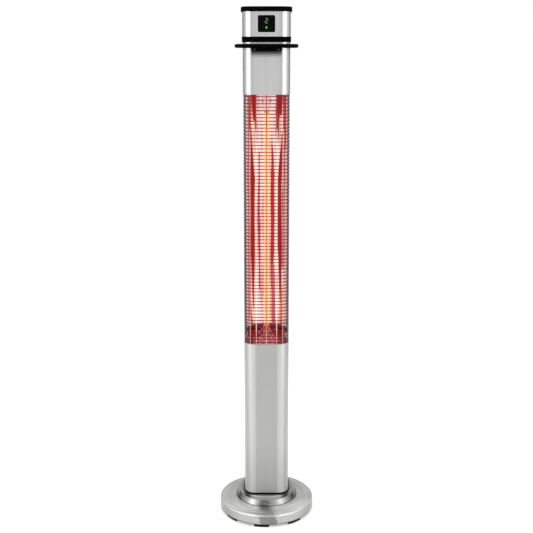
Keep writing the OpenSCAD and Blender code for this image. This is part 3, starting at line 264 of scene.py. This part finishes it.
def plastic(name, colour, rough, grain=1800.0, depth=0.0001, variation=0.25, gleam=0.5):
    """Moulded plastic or coating with a fine texture and slightly uneven gloss."""
    look = Look(name)
    fine = look.noise(look.place, grain, 2.0)
    broad, tone = uneven_tone(look, colour, variation, 40.0)
    return look.surface(
        Base_Color=tone, Roughness=look.spread(broad, rough - 0.05, rough + 0.08),
        Specular_IOR_Level=gleam, Normal=look.bump(fine, 0.25, depth))


def bright_metal(name, colour, rough, grain=700.0, variation=0.1):
    """Plain or plated metal with small pits and a slightly uneven tone."""
    look = Look(name)
    fine = look.noise(look.place, grain, 3.0)
    broad, tone = uneven_tone(look, colour, variation, 60.0)
    return look.surface(
        Base_Color=tone, Metallic=1.0, Roughness=look.spread(broad, rough - 0.05, rough + 0.08),
        Normal=look.bump(fine, 0.1, 0.0001))


# Painted reflections on the spun base round its axis, a dark ray with highlights and dark crescents beside
# it, for each of its bands: share of the turn from the back over the left, the front and the right, then
# the factor on the steel's colour
HUB_PAINTED_REFLECTIONS = [
    (0.000, 0.70), (0.120, 0.85), (0.250, 0.70), (0.360, 0.62), (0.440, 0.78), (0.500, 0.70),
    (0.570, 0.80), (0.650, 0.62), (0.750, 0.70), (0.880, 0.85), (1.000, 0.70),
]
FLANK_PAINTED_REFLECTIONS = [
    (0.000, 0.70), (0.080, 0.86), (0.160, 0.70), (0.240, 0.78), (0.285, 0.45), (0.300, 0.20),
    (0.325, 0.18), (0.345, 0.42), (0.375, 0.62), (0.455, 0.64), (0.470, 0.52), (0.480, 0.16),
    (0.512, 0.16), (0.524, 0.52), (0.540, 0.60), (0.625, 0.60), (0.655, 0.40), (0.675, 0.16),
    (0.700, 0.18), (0.715, 0.42), (0.760, 0.72), (0.840, 0.70), (0.920, 0.86), (1.000, 0.70),
]
ANNULUS_PAINTED_REFLECTIONS = [
    (0.000, 0.85), (0.070, 1.05), (0.140, 0.90), (0.220, 1.05), (0.290, 0.96), (0.360, 1.40),
    (0.420, 1.82), (0.455, 1.95), (0.472, 1.20), (0.487, 0.40), (0.513, 0.40), (0.530, 1.20),
    (0.548, 1.95), (0.580, 1.82), (0.640, 1.40), (0.710, 0.96), (0.780, 1.05), (0.860, 0.90),
    (0.930, 1.05), (1.000, 0.85),
]
RIM_PAINTED_REFLECTIONS = [
    (0.000, 0.80), (0.080, 0.98), (0.170, 0.84), (0.250, 0.92), (0.330, 0.76), (0.400, 1.00),
    (0.465, 1.02), (0.474, 0.50), (0.520, 0.46), (0.530, 1.02), (0.600, 1.02), (0.670, 0.80),
    (0.750, 0.92), (0.830, 0.84), (0.920, 0.98), (1.000, 0.80),
]

# Distances from the axis over which the flank ends, the fan of painted reflections leans and the painted
# dark ray fades on the annulus
FLANK_FOOT = (0.0838, 0.0850)
FAN_LEAN = (0.080, 0.130)
RAY_FADE = (0.090, 0.122)

# How far out from the column the gasket's image in the hub fades
GASKET_IMAGE = (0.0020, 0.0050)


def gasket_image(look, east, north):
    """How much of the hub's mirror the black gasket fills, by the distance out from the column."""
    corner_centre = column_half - CORNER_RADIUS
    past_centre = [look.math("MAXIMUM", look.math("SUBTRACT", look.away(value), corner_centre), 0.0)
                   for value in (east, north)]
    start, end = [CORNER_RADIUS + out for out in GASKET_IMAGE]
    return look.spread(look.length(*past_centre), 0.96, 0.0, start, end)


def spun_steel(name, colour, rough):
    """Stainless sheet brushed in circles round the upright axis, with painted reflections that fan out from
    it.
    """
    look = Look(name)
    east, north, up = look.axes()
    radius = look.length(east, north)
    angle = look.math("ARCTAN2", east, look.math("MULTIPLY", north, -1.0))

    def rings(outward, round_axis, upward):
        """Coordinates stretched by a factor each, along circles round the axis."""
        return look.node("ShaderNodeCombineXYZ", X=look.math("MULTIPLY", radius, outward),
                         Y=look.math("MULTIPLY", angle, round_axis),
                         Z=look.math("MULTIPLY", up, upward)).outputs[0]

    fine = look.noise(rings(1500.0, 3.0, 1500.0), 1.0, 3.0, 0.6)
    arcs = look.noise(rings(420.0, 1.6, 300.0), 1.0, 2.0)

    # the fan's edges wander a little, and lean to the right on their way out
    waver = look.noise(look.stretched((30, 30, 60)), 1.0, 2.0)
    lean = look.math("ADD", look.spread(radius, -0.006, 0.008, *FAN_LEAN),
                     look.spread(waver, -0.006, 0.006, 0.35, 0.65))
    turn = look.math("SUBTRACT", look.spread(angle, 0.0, 1.0, -math.pi, math.pi), lean)

    # a fan of painted reflections, from one of the lists above
    def fan(tones):
        return look.ramp(turn, [(place, shade(colour, tone)) for place, tone in tones])

    on_flank = look.spread(radius, 1.0, 0.0, *FLANK_FOOT)
    on_hub = look.spread(up, 0.0, 1.0, flank_top - 0.0010, flank_top + 0.0008)
    on_rim = look.spread(up, 1.0, 0.0, rim_top - 0.0042, rim_top - 0.0025)

    # the painted dark ray fades out on the annulus into a painted highlight towards its outer edge
    fade = look.spread(radius, 0.0, 0.45, *RAY_FADE, smooth=True)
    tone = look.mix(fade, fan(ANNULUS_PAINTED_REFLECTIONS), shade(colour, 1.42))
    tone = look.mix(on_flank, tone, fan(FLANK_PAINTED_REFLECTIONS))
    tone = look.mix(look.spread(arcs, 0.0, 0.65, 0.47, 0.64), tone, shade(colour, 0.62))
    tone = look.mix(on_hub, tone, fan(HUB_PAINTED_REFLECTIONS))
    tone = look.mix(on_rim, tone, fan(RIM_PAINTED_REFLECTIONS))
    tone = look.mix(1.0, tone, look.ramp(fine, [(0.3, grey(0.84)), (0.7, grey(1.0))]), "MULTIPLY")

    # painted dark lines: shade in the groove at the flank's foot, a dark reflection along the fold at the
    # annulus's edge, and shade under the rim's lip, each with its middle, half its width, where it has
    # faded, and its depth
    lines = [
        (radius, groove_radius, 0.0005, 0.0016, 0.80),
        (radius, rim_radius - 0.0052, 0.0003, 0.0012, 0.30),
        (up, rim_low, 0.0012, 0.0028, 0.85),
    ]
    for value, middle, half, faded, depth in lines:
        line = look.spread(look.away(value, middle), depth, 0.0, half, faded)
        tone = look.mix(line, tone, shade(colour, 0.10))
    tone = look.mix(look.math("MULTIPLY", gasket_image(look, east, north), on_hub), tone, grey(0.002))

    # the flank and the rim are polished; the flats are duller, and mirror less of the column
    flat = look.math("MAXIMUM", look.math("SUBTRACT", 1.0, on_flank), on_hub)
    flat = look.math("MULTIPLY", flat, look.math("SUBTRACT", 1.0, on_rim))
    tangent = look.node("ShaderNodeTangent", {"direction_type": "RADIAL", "axis": "Z"}).outputs[0]
    return look.surface(
        Base_Color=tone, Metallic=look.spread(flat, 1.0, 0.55, 0.0, 1.0), Tangent=tangent, Anisotropic=0.6,
        Roughness=look.math("ADD", look.spread(fine, rough - 0.06, rough + 0.08),
                            look.math("MULTIPLY", flat, 0.25)),
        Normal=look.bump(fine, 0.12, 0.0004))


# Tones of the light that the reflector throws back, from dark at the tube's ends to white hot
TONES = {
    "black": (0.04, 0.003, 0.003, 1.0),
    "wine": (0.16, 0.008, 0.010, 1.0),
    "blood": (0.42, 0.026, 0.028, 1.0),
    "crimson": (0.60, 0.045, 0.065, 1.0),
    "red": (0.66, 0.060, 0.055, 1.0),
    "orange": (0.90, 0.24, 0.08, 1.0),
    "rose": (0.72, 0.22, 0.23, 1.0),
    "coral": (1.05, 0.30, 0.32, 1.0),
    "pink": (0.98, 0.60, 0.58, 1.0),
    "mauve": (0.92, 0.74, 0.78, 1.0),
    "white": (1.38, 1.24, 1.18, 1.0),
    "shade": (0.30, 0.25, 0.26, 1.0),
}

# Long streaks in the reflector, each from its low end to its high end: the two heights, the middle at
# each end as a share of the width from the left, half the width at each end, and the tone
STREAKS = [
    (0.560, 1.150, 0.125, 0.120, 0.036, 0.026, "rose"),
    (0.930, 1.065, 0.200, 0.168, 0.044, 0.010, "blood"),
    (0.730, 0.935, 0.195, 0.200, 0.044, 0.044, "blood"),
    (0.590, 0.740, 0.208, 0.195, 0.010, 0.044, "blood"),
    (0.800, 1.000, 0.332, 0.340, 0.026, 0.014, "red"),
    (0.640, 0.805, 0.345, 0.332, 0.012, 0.026, "red"),
    (0.640, 0.745, 0.622, 0.636, 0.018, 0.040, "red"),
    (0.740, 0.950, 0.636, 0.634, 0.040, 0.040, "red"),
    (0.945, 1.020, 0.634, 0.620, 0.040, 0.010, "red"),
    (0.930, 1.050, 0.790, 0.835, 0.044, 0.010, "blood"),
    (0.750, 0.935, 0.792, 0.790, 0.044, 0.044, "blood"),
    (0.610, 0.755, 0.815, 0.792, 0.014, 0.044, "blood"),
    (0.700, 1.020, 0.866, 0.872, 0.032, 0.020, "red"),
    (1.040, 1.150, 0.150, 0.165, 0.014, 0.026, "orange"),
    (1.090, 1.152, 0.225, 0.222, 0.026, 0.044, "blood"),
    (1.010, 1.150, 0.262, 0.258, 0.012, 0.018, "blood"),
    (1.040, 1.110, 0.735, 0.755, 0.012, 0.040, "blood"),
    (1.105, 1.152, 0.770, 0.775, 0.064, 0.070, "blood"),
    (1.020, 1.150, 0.900, 0.885, 0.014, 0.036, "red"),
    (0.542, 0.600, 0.168, 0.162, 0.026, 0.010, "orange"),
    (0.542, 0.640, 0.828, 0.835, 0.024, 0.014, "orange"),
    (0.542, 0.700, 0.662, 0.648, 0.044, 0.030, "rose"),
]
STREAK_EDGE = 0.007
STREAK_FADE = 0.012

# Duller patches between the streaks: the tone, its noise's stretch along each axis, how strong it gets,
# and the level of the noise at which it starts
PATCHES = [
    ("pink", (60, 60, 5), 0.85, 0.50),
    ("rose", (90, 90, 8), 0.60, 0.56),
]

# The guard's level wires, and how strongly the painted shade and reflection of each wire reddens the sheet
# right behind it
WIRE_PITCH = 0.00873
WIRE_FIRST_Z = 0.505
WIRE_FRONT = -0.059
WIRE_PAINTED_SHADE = 0.6

# Distances from the middle over which the reflector's tone changes towards its sides
MAUVE_FROM = (0.043, 0.047)
SHADE_FROM = (0.0525, 0.0540)
DIM_RED_FROM = (0.020, 0.026)
DIM_MAUVE_FROM = (0.047, 0.052)


def streak_mask(look, share, up, streak):
    """One inside a streak of the list and zero outside it, with soft edges and ends."""
    low, high, low_place, high_place, low_half, high_half = streak
    half = look.spread(up, low_half, high_half, low, high)
    off = look.away(share, look.spread(up, low_place, high_place, low, high))
    within = look.spread(off, 1.0, 0.0, look.math("SUBTRACT", half, STREAK_EDGE),
                         look.math("ADD", half, STREAK_EDGE))
    ends = look.math("MULTIPLY", look.spread(up, 0.0, 1.0, low - STREAK_FADE, low),
                     look.spread(up, 1.0, 0.0, high, high + STREAK_FADE))
    return look.math("MULTIPLY", within, ends)


def behind_wires(look, north, up):
    """One on the sheet right behind a level wire, as the photographer sees it, and zero between wires."""
    _, eye_y, eye_z = CAMERA_PLACE
    nearer = look.math("DIVIDE", WIRE_FRONT - eye_y, look.math("SUBTRACT", north, eye_y))
    above_eye = look.math("MULTIPLY", look.math("SUBTRACT", up, eye_z), nearer)
    wires_up = look.math("DIVIDE", look.math("ADD", above_eye, eye_z - WIRE_FIRST_Z), WIRE_PITCH)
    between = look.math("FRACT", look.math("ADD", wires_up, 0.5))
    return look.spread(look.away(between, 0.5), 1.0, 0.0, 0.10, 0.30)


def dull_light(look, up, off_middle, speckle):
    """Mottled light on the sheet past the tube's lower end, and a band of painted shade at the end cap's
    top.
    """
    dim = look.mix(look.spread(off_middle, 0.0, 1.0, *DIM_RED_FROM), TONES["coral"], TONES["red"])
    dim = look.mix(look.spread(off_middle, 0.0, 1.0, *DIM_MAUVE_FROM), dim, TONES["mauve"])
    mottled = look.mix(look.spread(speckle, 0.0, 0.9, 0.46, 0.56), TONES["wine"], dim)
    # painted shade at the end cap's top
    band = look.spread(look.away(up, glow_low - 0.009), 0.75, 0.0, 0.004, 0.010)
    return look.mix(band, mottled, TONES["black"])


def lit_reflector(name):
    """Mirror sheet that throws the tube's light back in long streaks, dark past the tube's lower end."""
    look = Look(name)
    east, north, up = look.axes()
    off_middle = look.away(east)

    # white hot between the streaks, where the sheet isn't quite flat and dulls in long patches
    light = TONES["white"]
    for tone, grain, amount, start in PATCHES:
        patches = look.noise(look.stretched(grain), 1.0, 2.0)
        light = look.mix(look.spread(patches, 0.0, amount, start, start + 0.12), light, TONES[tone])
    light = look.mix(look.spread(off_middle, 0.0, 1.0, *MAUVE_FROM), light, TONES["mauve"])
    light = look.mix(look.spread(off_middle, 0.0, 1.0, *SHADE_FROM), light, TONES["shade"])

    # the streaks waver a little from side to side
    sway = 0.0008
    drift = look.spread(look.noise(look.stretched((8, 8, 4)), 1.0, 2.0), -sway, sway, 0.35, 0.65)
    ripple = look.spread(look.noise(look.stretched((160, 160, 9)), 1.0, 2.0), -sway, sway, 0.35, 0.65)
    across = look.math("ADD", east, look.math("ADD", drift, ripple))
    share = look.spread(across, 0.0, 1.0, -column_half, column_half)
    for *streak, tone in STREAKS:
        light = look.mix(streak_mask(look, share, up, streak), light, TONES[tone])
    # painted shade and reflection of the level wires, as dark red lines right behind them
    wire_shade = look.math("MULTIPLY", behind_wires(look, north, up), WIRE_PAINTED_SHADE)
    light = look.mix(wire_shade, light, TONES["crimson"])

    speckle = look.noise(look.stretched((260, 260, 150)), 1.0, 3.0)
    low_end = look.spread(up, 0.0, 1.0, glow_low - 0.003, glow_low + 0.004, smooth=True)
    light = look.mix(low_end, dull_light(look, up, off_middle, speckle), light)
    # painted shade along the sheet's top edge, under the neck
    top_edge_shade = look.spread(up, 0.0, 0.85, guard_top - 0.006, guard_top - 0.002)
    light = look.mix(top_edge_shade, light, TONES["wine"])
    return look.surface(
        Base_Color=look.mix(1.0, light, grey(0.24), "MULTIPLY"), Metallic=1.0,
        Roughness=look.spread(speckle, 0.06, 0.14), Emission_Color=light, Emission_Strength=0.52,
        Normal=look.bump(speckle, 0.05, 0.0005))


# Light on the level wires and on the uprights: distance from the middle, then the colour
WIRE_LIGHT = [
    (0.000, (0.38, 0.050, 0.010)), (0.006, (0.34, 0.045, 0.015)), (0.009, (0.20, 0.004, 0.012)),
    (0.022, (0.19, 0.003, 0.011)), (0.025, (0.42, 0.110, 0.115)), (0.029, (0.42, 0.110, 0.115)),
    (0.032, (0.19, 0.003, 0.009)), (0.044, (0.20, 0.004, 0.012)), (0.050, (0.24, 0.050, 0.060)),
]
UPRIGHT_LIGHT = [
    (0.000, (0.80, 0.29, 0.10)), (0.008, (0.80, 0.29, 0.10)), (0.020, (1.20, 1.02, 0.96)),
    (0.034, (1.20, 1.02, 0.96)), (0.038, (1.00, 0.66, 0.60)), (0.050, (0.95, 0.60, 0.55)),
]

# The wires are lit up to these distances from the middle and these depths, and are pale past the last
LIT_WITHIN = (0.0425, 0.0465)
LIT_FORWARD = (-0.050, -0.035)
PALE_FROM = (0.0555, 0.0580)


def lit_wire(name, tones, low_tone, high_tone, high_z):
    """Chrome wire: grey at the sides, and lit by the tube where it crosses in front of the reflector.

    Tones are pairs of a distance from the middle and the light there. Low_tone is the light past the tube's
    lower end, and high_tone the light above high_z.
    """
    look = Look(name)
    east, north, up = look.axes()
    off_middle = look.away(east)
    reach = tones[-1][0]
    warm = look.ramp(look.spread(off_middle, 0.0, 1.0, 0.0, reach),
                     [(where / reach, light + (1.0,)) for where, light in tones])
    uneven = look.noise(look.stretched((120, 120, 30)), 1.0, 2.0)
    warm = look.mix(look.spread(uneven, 0.0, 0.3), warm, shade(tones[0][1], 0.5))
    warm = look.mix(look.spread(up, 0.0, 1.0, high_z - 0.008, high_z + 0.008), warm, high_tone + (1.0,))
    low_end = look.spread(up, 0.0, 1.0, glow_low - 0.010, glow_low + 0.003)
    warm = look.mix(low_end, low_tone + (1.0,), warm)

    # only the stretch in front of the reflector is lit
    in_front = look.spread(north, 1.0, 0.0, *LIT_FORWARD)
    lit = look.math("MULTIPLY", look.spread(off_middle, 1.0, 0.0, *LIT_WITHIN), in_front)
    pits = look.noise(look.place, 700.0, 3.0)
    side = look.mix(pits, paint(48, 47, 49), paint(74, 72, 74))
    side = look.mix(look.spread(off_middle, 0.0, 1.0, *PALE_FROM), side, paint(150, 149, 151))
    return look.surface(
        Base_Color=look.mix(lit, side, (0.03, 0.006, 0.006, 1.0)), Metallic=1.0,
        Roughness=look.spread(pits, 0.24, 0.36), Emission_Color=look.mix(lit, grey(0.0), warm),
        Emission_Strength=1.0, Normal=look.bump(pits, 0.1, 0.0001))


def red_lit_sheet(name):
    """Galvanised sheet under the tube's end, with the red light in its spangle."""
    look = Look(name)
    east = look.axes()[0]
    spangle = look.noise(look.stretched((190, 190, 190)), 1.0, 3.0, 0.6)
    light = look.ramp(spangle, [
        (0.42, (0.14, 0.004, 0.005, 1.0)),
        (0.50, (0.48, 0.03, 0.04, 1.0)),
        (0.58, (0.95, 0.42, 0.42, 1.0)),
    ])
    side = look.spread(look.away(east), 0.0, 0.75, 0.018, 0.040)
    light = look.mix(side, light, (0.08, 0.002, 0.003, 1.0))
    return look.surface(
        Base_Color=(0.06, 0.02, 0.02, 1.0), Metallic=1.0, Roughness=look.spread(spangle, 0.3, 0.5),
        Emission_Color=light, Emission_Strength=0.9)


def warm_ceramic(name):
    """White ceramic in the tube's red light, dim at the lower end and pale at the upper end."""
    look = Look(name)
    up = look.axes()[2]
    grain = look.noise(look.place, 500.0, 3.0)
    speckle = look.noise(look.stretched((260, 260, 200)), 1.0, 3.0)
    high = look.spread(up, 0.0, 1.0, glow_low + 0.05, glow_high - 0.05)
    spots = look.spread(speckle, 0.0, 1.0, 0.46, 0.56)
    dim = look.mix(spots, (0.16, 0.010, 0.012, 1.0), (0.66, 0.17, 0.16, 1.0))
    body = look.mix(high, paint(90, 40, 38), paint(190, 160, 154))
    body = look.mix(look.spread(grain, 0.0, 0.35), body, paint(70, 36, 34))
    return look.surface(
        Base_Color=body, Roughness=0.6, Emission_Color=look.mix(high, dim, (0.62, 0.36, 0.34, 1.0)),
        Emission_Strength=0.8, Normal=look.bump(grain, 0.2, 0.0001))


def glow(name, colour, strength):
    """A piece that gives light of its own, slightly uneven along its length."""
    look = Look(name)
    uneven = look.noise(look.place, 90.0, 2.0)
    tone = look.mix(look.spread(uneven, 0.0, 1.0), shade(colour, 0.85), colour)
    return look.surface(Base_Color=tone, Roughness=0.5, Emission_Color=tone, Emission_Strength=strength)


# Light across the quartz tube, from its left edge to its right edge
TUBE_LIGHT = [
    (0.00, (0.90, 0.55, 0.44, 1.0)), (0.24, (0.98, 0.62, 0.44, 1.0)), (0.38, (0.84, 0.25, 0.06, 1.0)),
    (0.62, (0.84, 0.27, 0.07, 1.0)), (0.76, (0.98, 0.62, 0.30, 1.0)), (1.00, (0.90, 0.58, 0.42, 1.0)),
]
TUBE_LIGHT_HALF = 0.007


def clear_tube(name):
    """Clear quartz round the hot coil: partly see-through, and lit by it."""
    look = Look(name)
    east, _, up = look.axes()
    warm = look.ramp(look.spread(east, 0.0, 1.0, -TUBE_LIGHT_HALF, TUBE_LIGHT_HALF), TUBE_LIGHT)
    haze = look.noise(look.stretched((60, 60, 25)), 1.0, 2.0)
    warm = look.mix(look.spread(haze, 0.0, 0.35), warm, (1.0, 0.42, 0.12, 1.0))
    low_end = look.spread(up, 0.0, 1.0, glow_low, glow_low + 0.010)
    high_end = look.spread(up, 1.0, 0.0, glow_high - 0.010, glow_high)
    lit = look.mix(look.math("MULTIPLY", low_end, high_end), (0.10, 0.02, 0.01, 1.0), warm)
    return look.clear_skin(
        (1.0, 0.93, 0.86, 1.0), 0.6, Base_Color=(0.30, 0.16, 0.10, 1.0), Roughness=0.08,
        Emission_Color=lit, Emission_Strength=1.1)


def smoked_window(name):
    """Dark gloss acrylic, thin enough for the lit figure behind it to show."""
    look = Look(name)
    smear = look.noise(look.place, 45.0, 3.0)
    return look.clear_skin(
        grey(0.80), 0.75, Base_Color=grey(0.002), Specular_IOR_Level=0.04,
        Roughness=look.spread(smear, 0.10, 0.20))


MOULDED_BLACK = paint(3, 3, 3)
NECK_STEEL = paint(189, 189, 189)

looks = {
    "pad_rubber": plastic("pad_rubber", paint(6, 6, 6), 0.8, gleam=0.03),
    "black_steel": plastic("black_steel", paint(30, 30, 31), 0.6, gleam=0.2),
    "zinc_screw": bright_metal("zinc_screw", paint(190, 192, 190), 0.3),
    "ballast_iron": plastic("ballast_iron", paint(52, 52, 54), 0.75, 300.0, 0.0006),
    "spun_stainless": spun_steel("spun_stainless", paint(178, 178, 177), 0.30),
    "black_plastic": plastic("black_plastic", MOULDED_BLACK, 0.5, gleam=0.015),
    "galvanised_steel": bright_metal("galvanised_steel", paint(176, 179, 181), 0.42, 120.0, 0.12),
    "spring_steel": bright_metal("spring_steel", paint(178, 179, 180), 0.3),
    "satin_stainless": brushed_steel(
        "satin_stainless", paint(164, 164, 162), 0.40, 0.03, SLEEVE_CORNER_LIGHT_AND_SHADE,
        foot_z=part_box("lower_sleeve")[0].z),
    "stainless_screw": bright_metal("stainless_screw", paint(200, 200, 201), 0.25),
    "pale_plastic": plastic("pale_plastic", paint(222, 218, 206), 0.5, variation=0.05),
    "brushed_stainless": brushed_steel("brushed_stainless", NECK_STEEL, 0.37, 0.07, NECK_CORNER_LIGHT_AND_SHADE),
    "polished_reflector": lit_reflector("polished_reflector"),
    "chrome_wire": lit_wire(
        "chrome_wire", WIRE_LIGHT, (0.09, 0.003, 0.005), (0.24, 0.012, 0.022), glow_high),
    "quartz_glass": clear_tube("quartz_glass"),
    "glowing_coil": glow("glowing_coil", (1.0, 0.24, 0.03, 1.0), 1.6),
    "end_cap_ceramic": warm_ceramic("end_cap_ceramic"),
    "black_powder_coat": plastic("black_powder_coat", MOULDED_BLACK, 0.5, gleam=0.015),
    "dark_screw": bright_metal("dark_screw", paint(52, 52, 54), 0.45),
    "rocker_plastic": plastic("rocker_plastic", paint(24, 24, 25), 0.28),
    "brass_terminal": bright_metal("brass_terminal", paint(212, 184, 120), 0.3),
    "board_green": plastic("board_green", paint(28, 92, 56), 0.4, 60.0, 0.0002),
    "relay_blue": plastic("relay_blue", paint(44, 84, 150), 0.35),
    "transformer_iron": plastic("transformer_iron", paint(140, 110, 66), 0.45),
    "heat_sink_aluminium": bright_metal("heat_sink_aluminium", paint(205, 206, 208), 0.35),
    "dark_window": smoked_window("dark_window"),
    "digit_green": glow("digit_green", (0.33, 1.0, 0.27, 1.0), 13.0),
    "light_green": glow("light_green", (0.05, 1.0, 0.08, 1.0), 34.0),
}

# Pieces that share a material with others but take another look: the neck with the bracket's painted
# shadow, the uprights and the lower bulkhead with painted light, and the display board with a darker
# colour. The uprights have the wires' finish and a light of their own, because the tube lights them side
# on.
own_looks = {
    "neck_sleeve": brushed_steel(
        "shaded_stainless", NECK_STEEL, 0.37, 0.07, NECK_CORNER_LIGHT_AND_SHADE, shadow_z=bracket_low),
    "guard_uprights": lit_wire(
        "chrome_upright", UPRIGHT_LIGHT, (0.85, 0.50, 0.48), (0.36, 0.030, 0.045), glow_high - 0.045),
    "lower_bulkhead": red_lit_sheet("red_lit_sheet"),
    "display_board": plastic("display_board", paint(10, 26, 17), 0.5, 60.0, 0.0002, gleam=0.05),
}

for subpart in frame["record"]["subparts"]:
    part = nodes[subpart["node"]]
    part.data.materials.clear()
    part.data.materials.append(own_looks.get(subpart["node"], looks[subpart["material_slot"]]))


def flat_face(name, corners):
    """A new object of one flat face, from its corners in order."""
    mesh = bpy.data.meshes.new(name)
    plan = bmesh.new()
    plan.faces.new([plan.verts.new(corner) for corner in corners])
    plan.to_mesh(mesh)
    plan.free()
    face = bpy.data.objects.new(name, mesh)
    bpy.context.scene.collection.objects.link(face)
    return face


def seen_directly(tree):
    """One for rays from the camera, off gloss or through glass, and zero for light on the object."""
    path = tree.nodes.new("ShaderNodeLightPath")
    seen = path.outputs["Is Camera Ray"]
    for ray in ("Is Glossy Ray", "Is Transmission Ray"):
        either = tree.nodes.new("ShaderNodeMath")
        either.operation = "MAXIMUM"
        tree.links.new(seen, either.inputs[0])
        tree.links.new(path.outputs[ray], either.inputs[1])
        seen = either.outputs[0]
    return seen


FLOOR_HALF = 9.0
FLOOR_LIFT = 0.39


def floor_look(name):
    """Pale paint that shows white to the camera, and keeps the object's shadow."""
    look = Look(name)
    mottle = look.noise(look.place, 3.0, 2.0)
    tone = look.mix(look.spread(mottle, 0.0, 1.0), grey(0.80), grey(0.82))
    strength = look.math("MULTIPLY", seen_directly(look.tree), FLOOR_LIFT)
    return look.surface(
        Base_Color=tone, Roughness=0.9, Emission_Color=grey(1.0), Emission_Strength=strength)


square = ((-1, -1), (1, -1), (1, 1), (-1, 1))
floor = flat_face("studio_floor", [(x * FLOOR_HALF, y * FLOOR_HALF, 0.0) for x, y in square])
floor.data.materials.append(floor_look("studio_floor"))

# World: white where it is seen, and a plain level of light on the object
WORLD_LIGHT = 0.75
world = bpy.data.worlds.new("studio")
bpy.context.scene.world = world
world.use_nodes = True
air = world.node_tree
background = air.nodes["Background"]
background.inputs["Color"].default_value = grey(1.0)
level = air.nodes.new("ShaderNodeMapRange")
level.inputs["To Min"].default_value = WORLD_LIGHT
level.inputs["To Max"].default_value = 1.0
air.links.new(seen_directly(air), level.inputs["Value"])
air.links.new(level.outputs[0], background.inputs["Strength"])

CARD_HALF_WIDTH = 0.32
CARD_LOW = 0.02
CARD_HIGH = 2.4


def dark_card(name, place):
    """A grey card beside the object: only gloss sees it, as a soft dark edge on the steel."""
    upright = ((-1, CARD_LOW), (1, CARD_LOW), (1, CARD_HIGH), (-1, CARD_HIGH))
    holder = flat_face(name, [(x * CARD_HALF_WIDTH, 0.0, z) for x, z in upright])
    holder.location = place
    holder.rotation_euler = (0.0, 0.0, math.atan2(place[1], place[0]) + math.pi / 2)
    holder.visible_camera = holder.visible_diffuse = holder.visible_shadow = False
    look = Look(name)
    cloth = look.noise(look.place, 30.0, 2.0)
    holder.data.materials.append(look.surface(
        Base_Color=look.mix(cloth, grey(0.10), grey(0.13)), Roughness=1.0, Specular_IOR_Level=0.0))


dark_card("left_card", (-1.25, 1.0, 0.0))
dark_card("right_card", (1.25, 1.0, 0.0))

LAMP_TARGET = (0.0, 0.0, 0.7)


def lamp(name, place, width, height, power):
    """A soft box that shines from its place at the middle of the heater."""
    light = bpy.data.lights.new(name, "AREA")
    light.shape = "RECTANGLE"
    light.size, light.size_y, light.energy = width, height, power
    holder = bpy.data.objects.new(name, light)
    bpy.context.scene.collection.objects.link(holder)
    holder.location = place
    holder.rotation_euler = (Vector(LAMP_TARGET) - Vector(place)).to_track_quat("-Z", "Y").to_euler()


lamp("left_box", (-2.6, -1.5, 1.3), 0.7, 2.4, 42)
lamp("right_box", (2.6, -1.5, 1.3), 0.7, 2.4, 36)
lamp("top_box", (0.0, -0.6, 3.2), 2.0, 1.6, 30)

# Camera, turned down to the middle of the heater
CAMERA_DOWN = 13.2
CAMERA_LENS = 63.4
CAMERA_REACH = 50.0
camera_data = bpy.data.cameras.new("camera")
camera_data.lens = CAMERA_LENS
camera_data.clip_end = CAMERA_REACH
camera = bpy.data.objects.new("camera", camera_data)
bpy.context.scene.collection.objects.link(camera)
camera.location = CAMERA_PLACE
camera.rotation_euler = (math.radians(90 - CAMERA_DOWN), 0.0, 0.0)
bpy.context.scene.camera = camera
bpy.context.scene.view_settings.view_transform = "Standard"
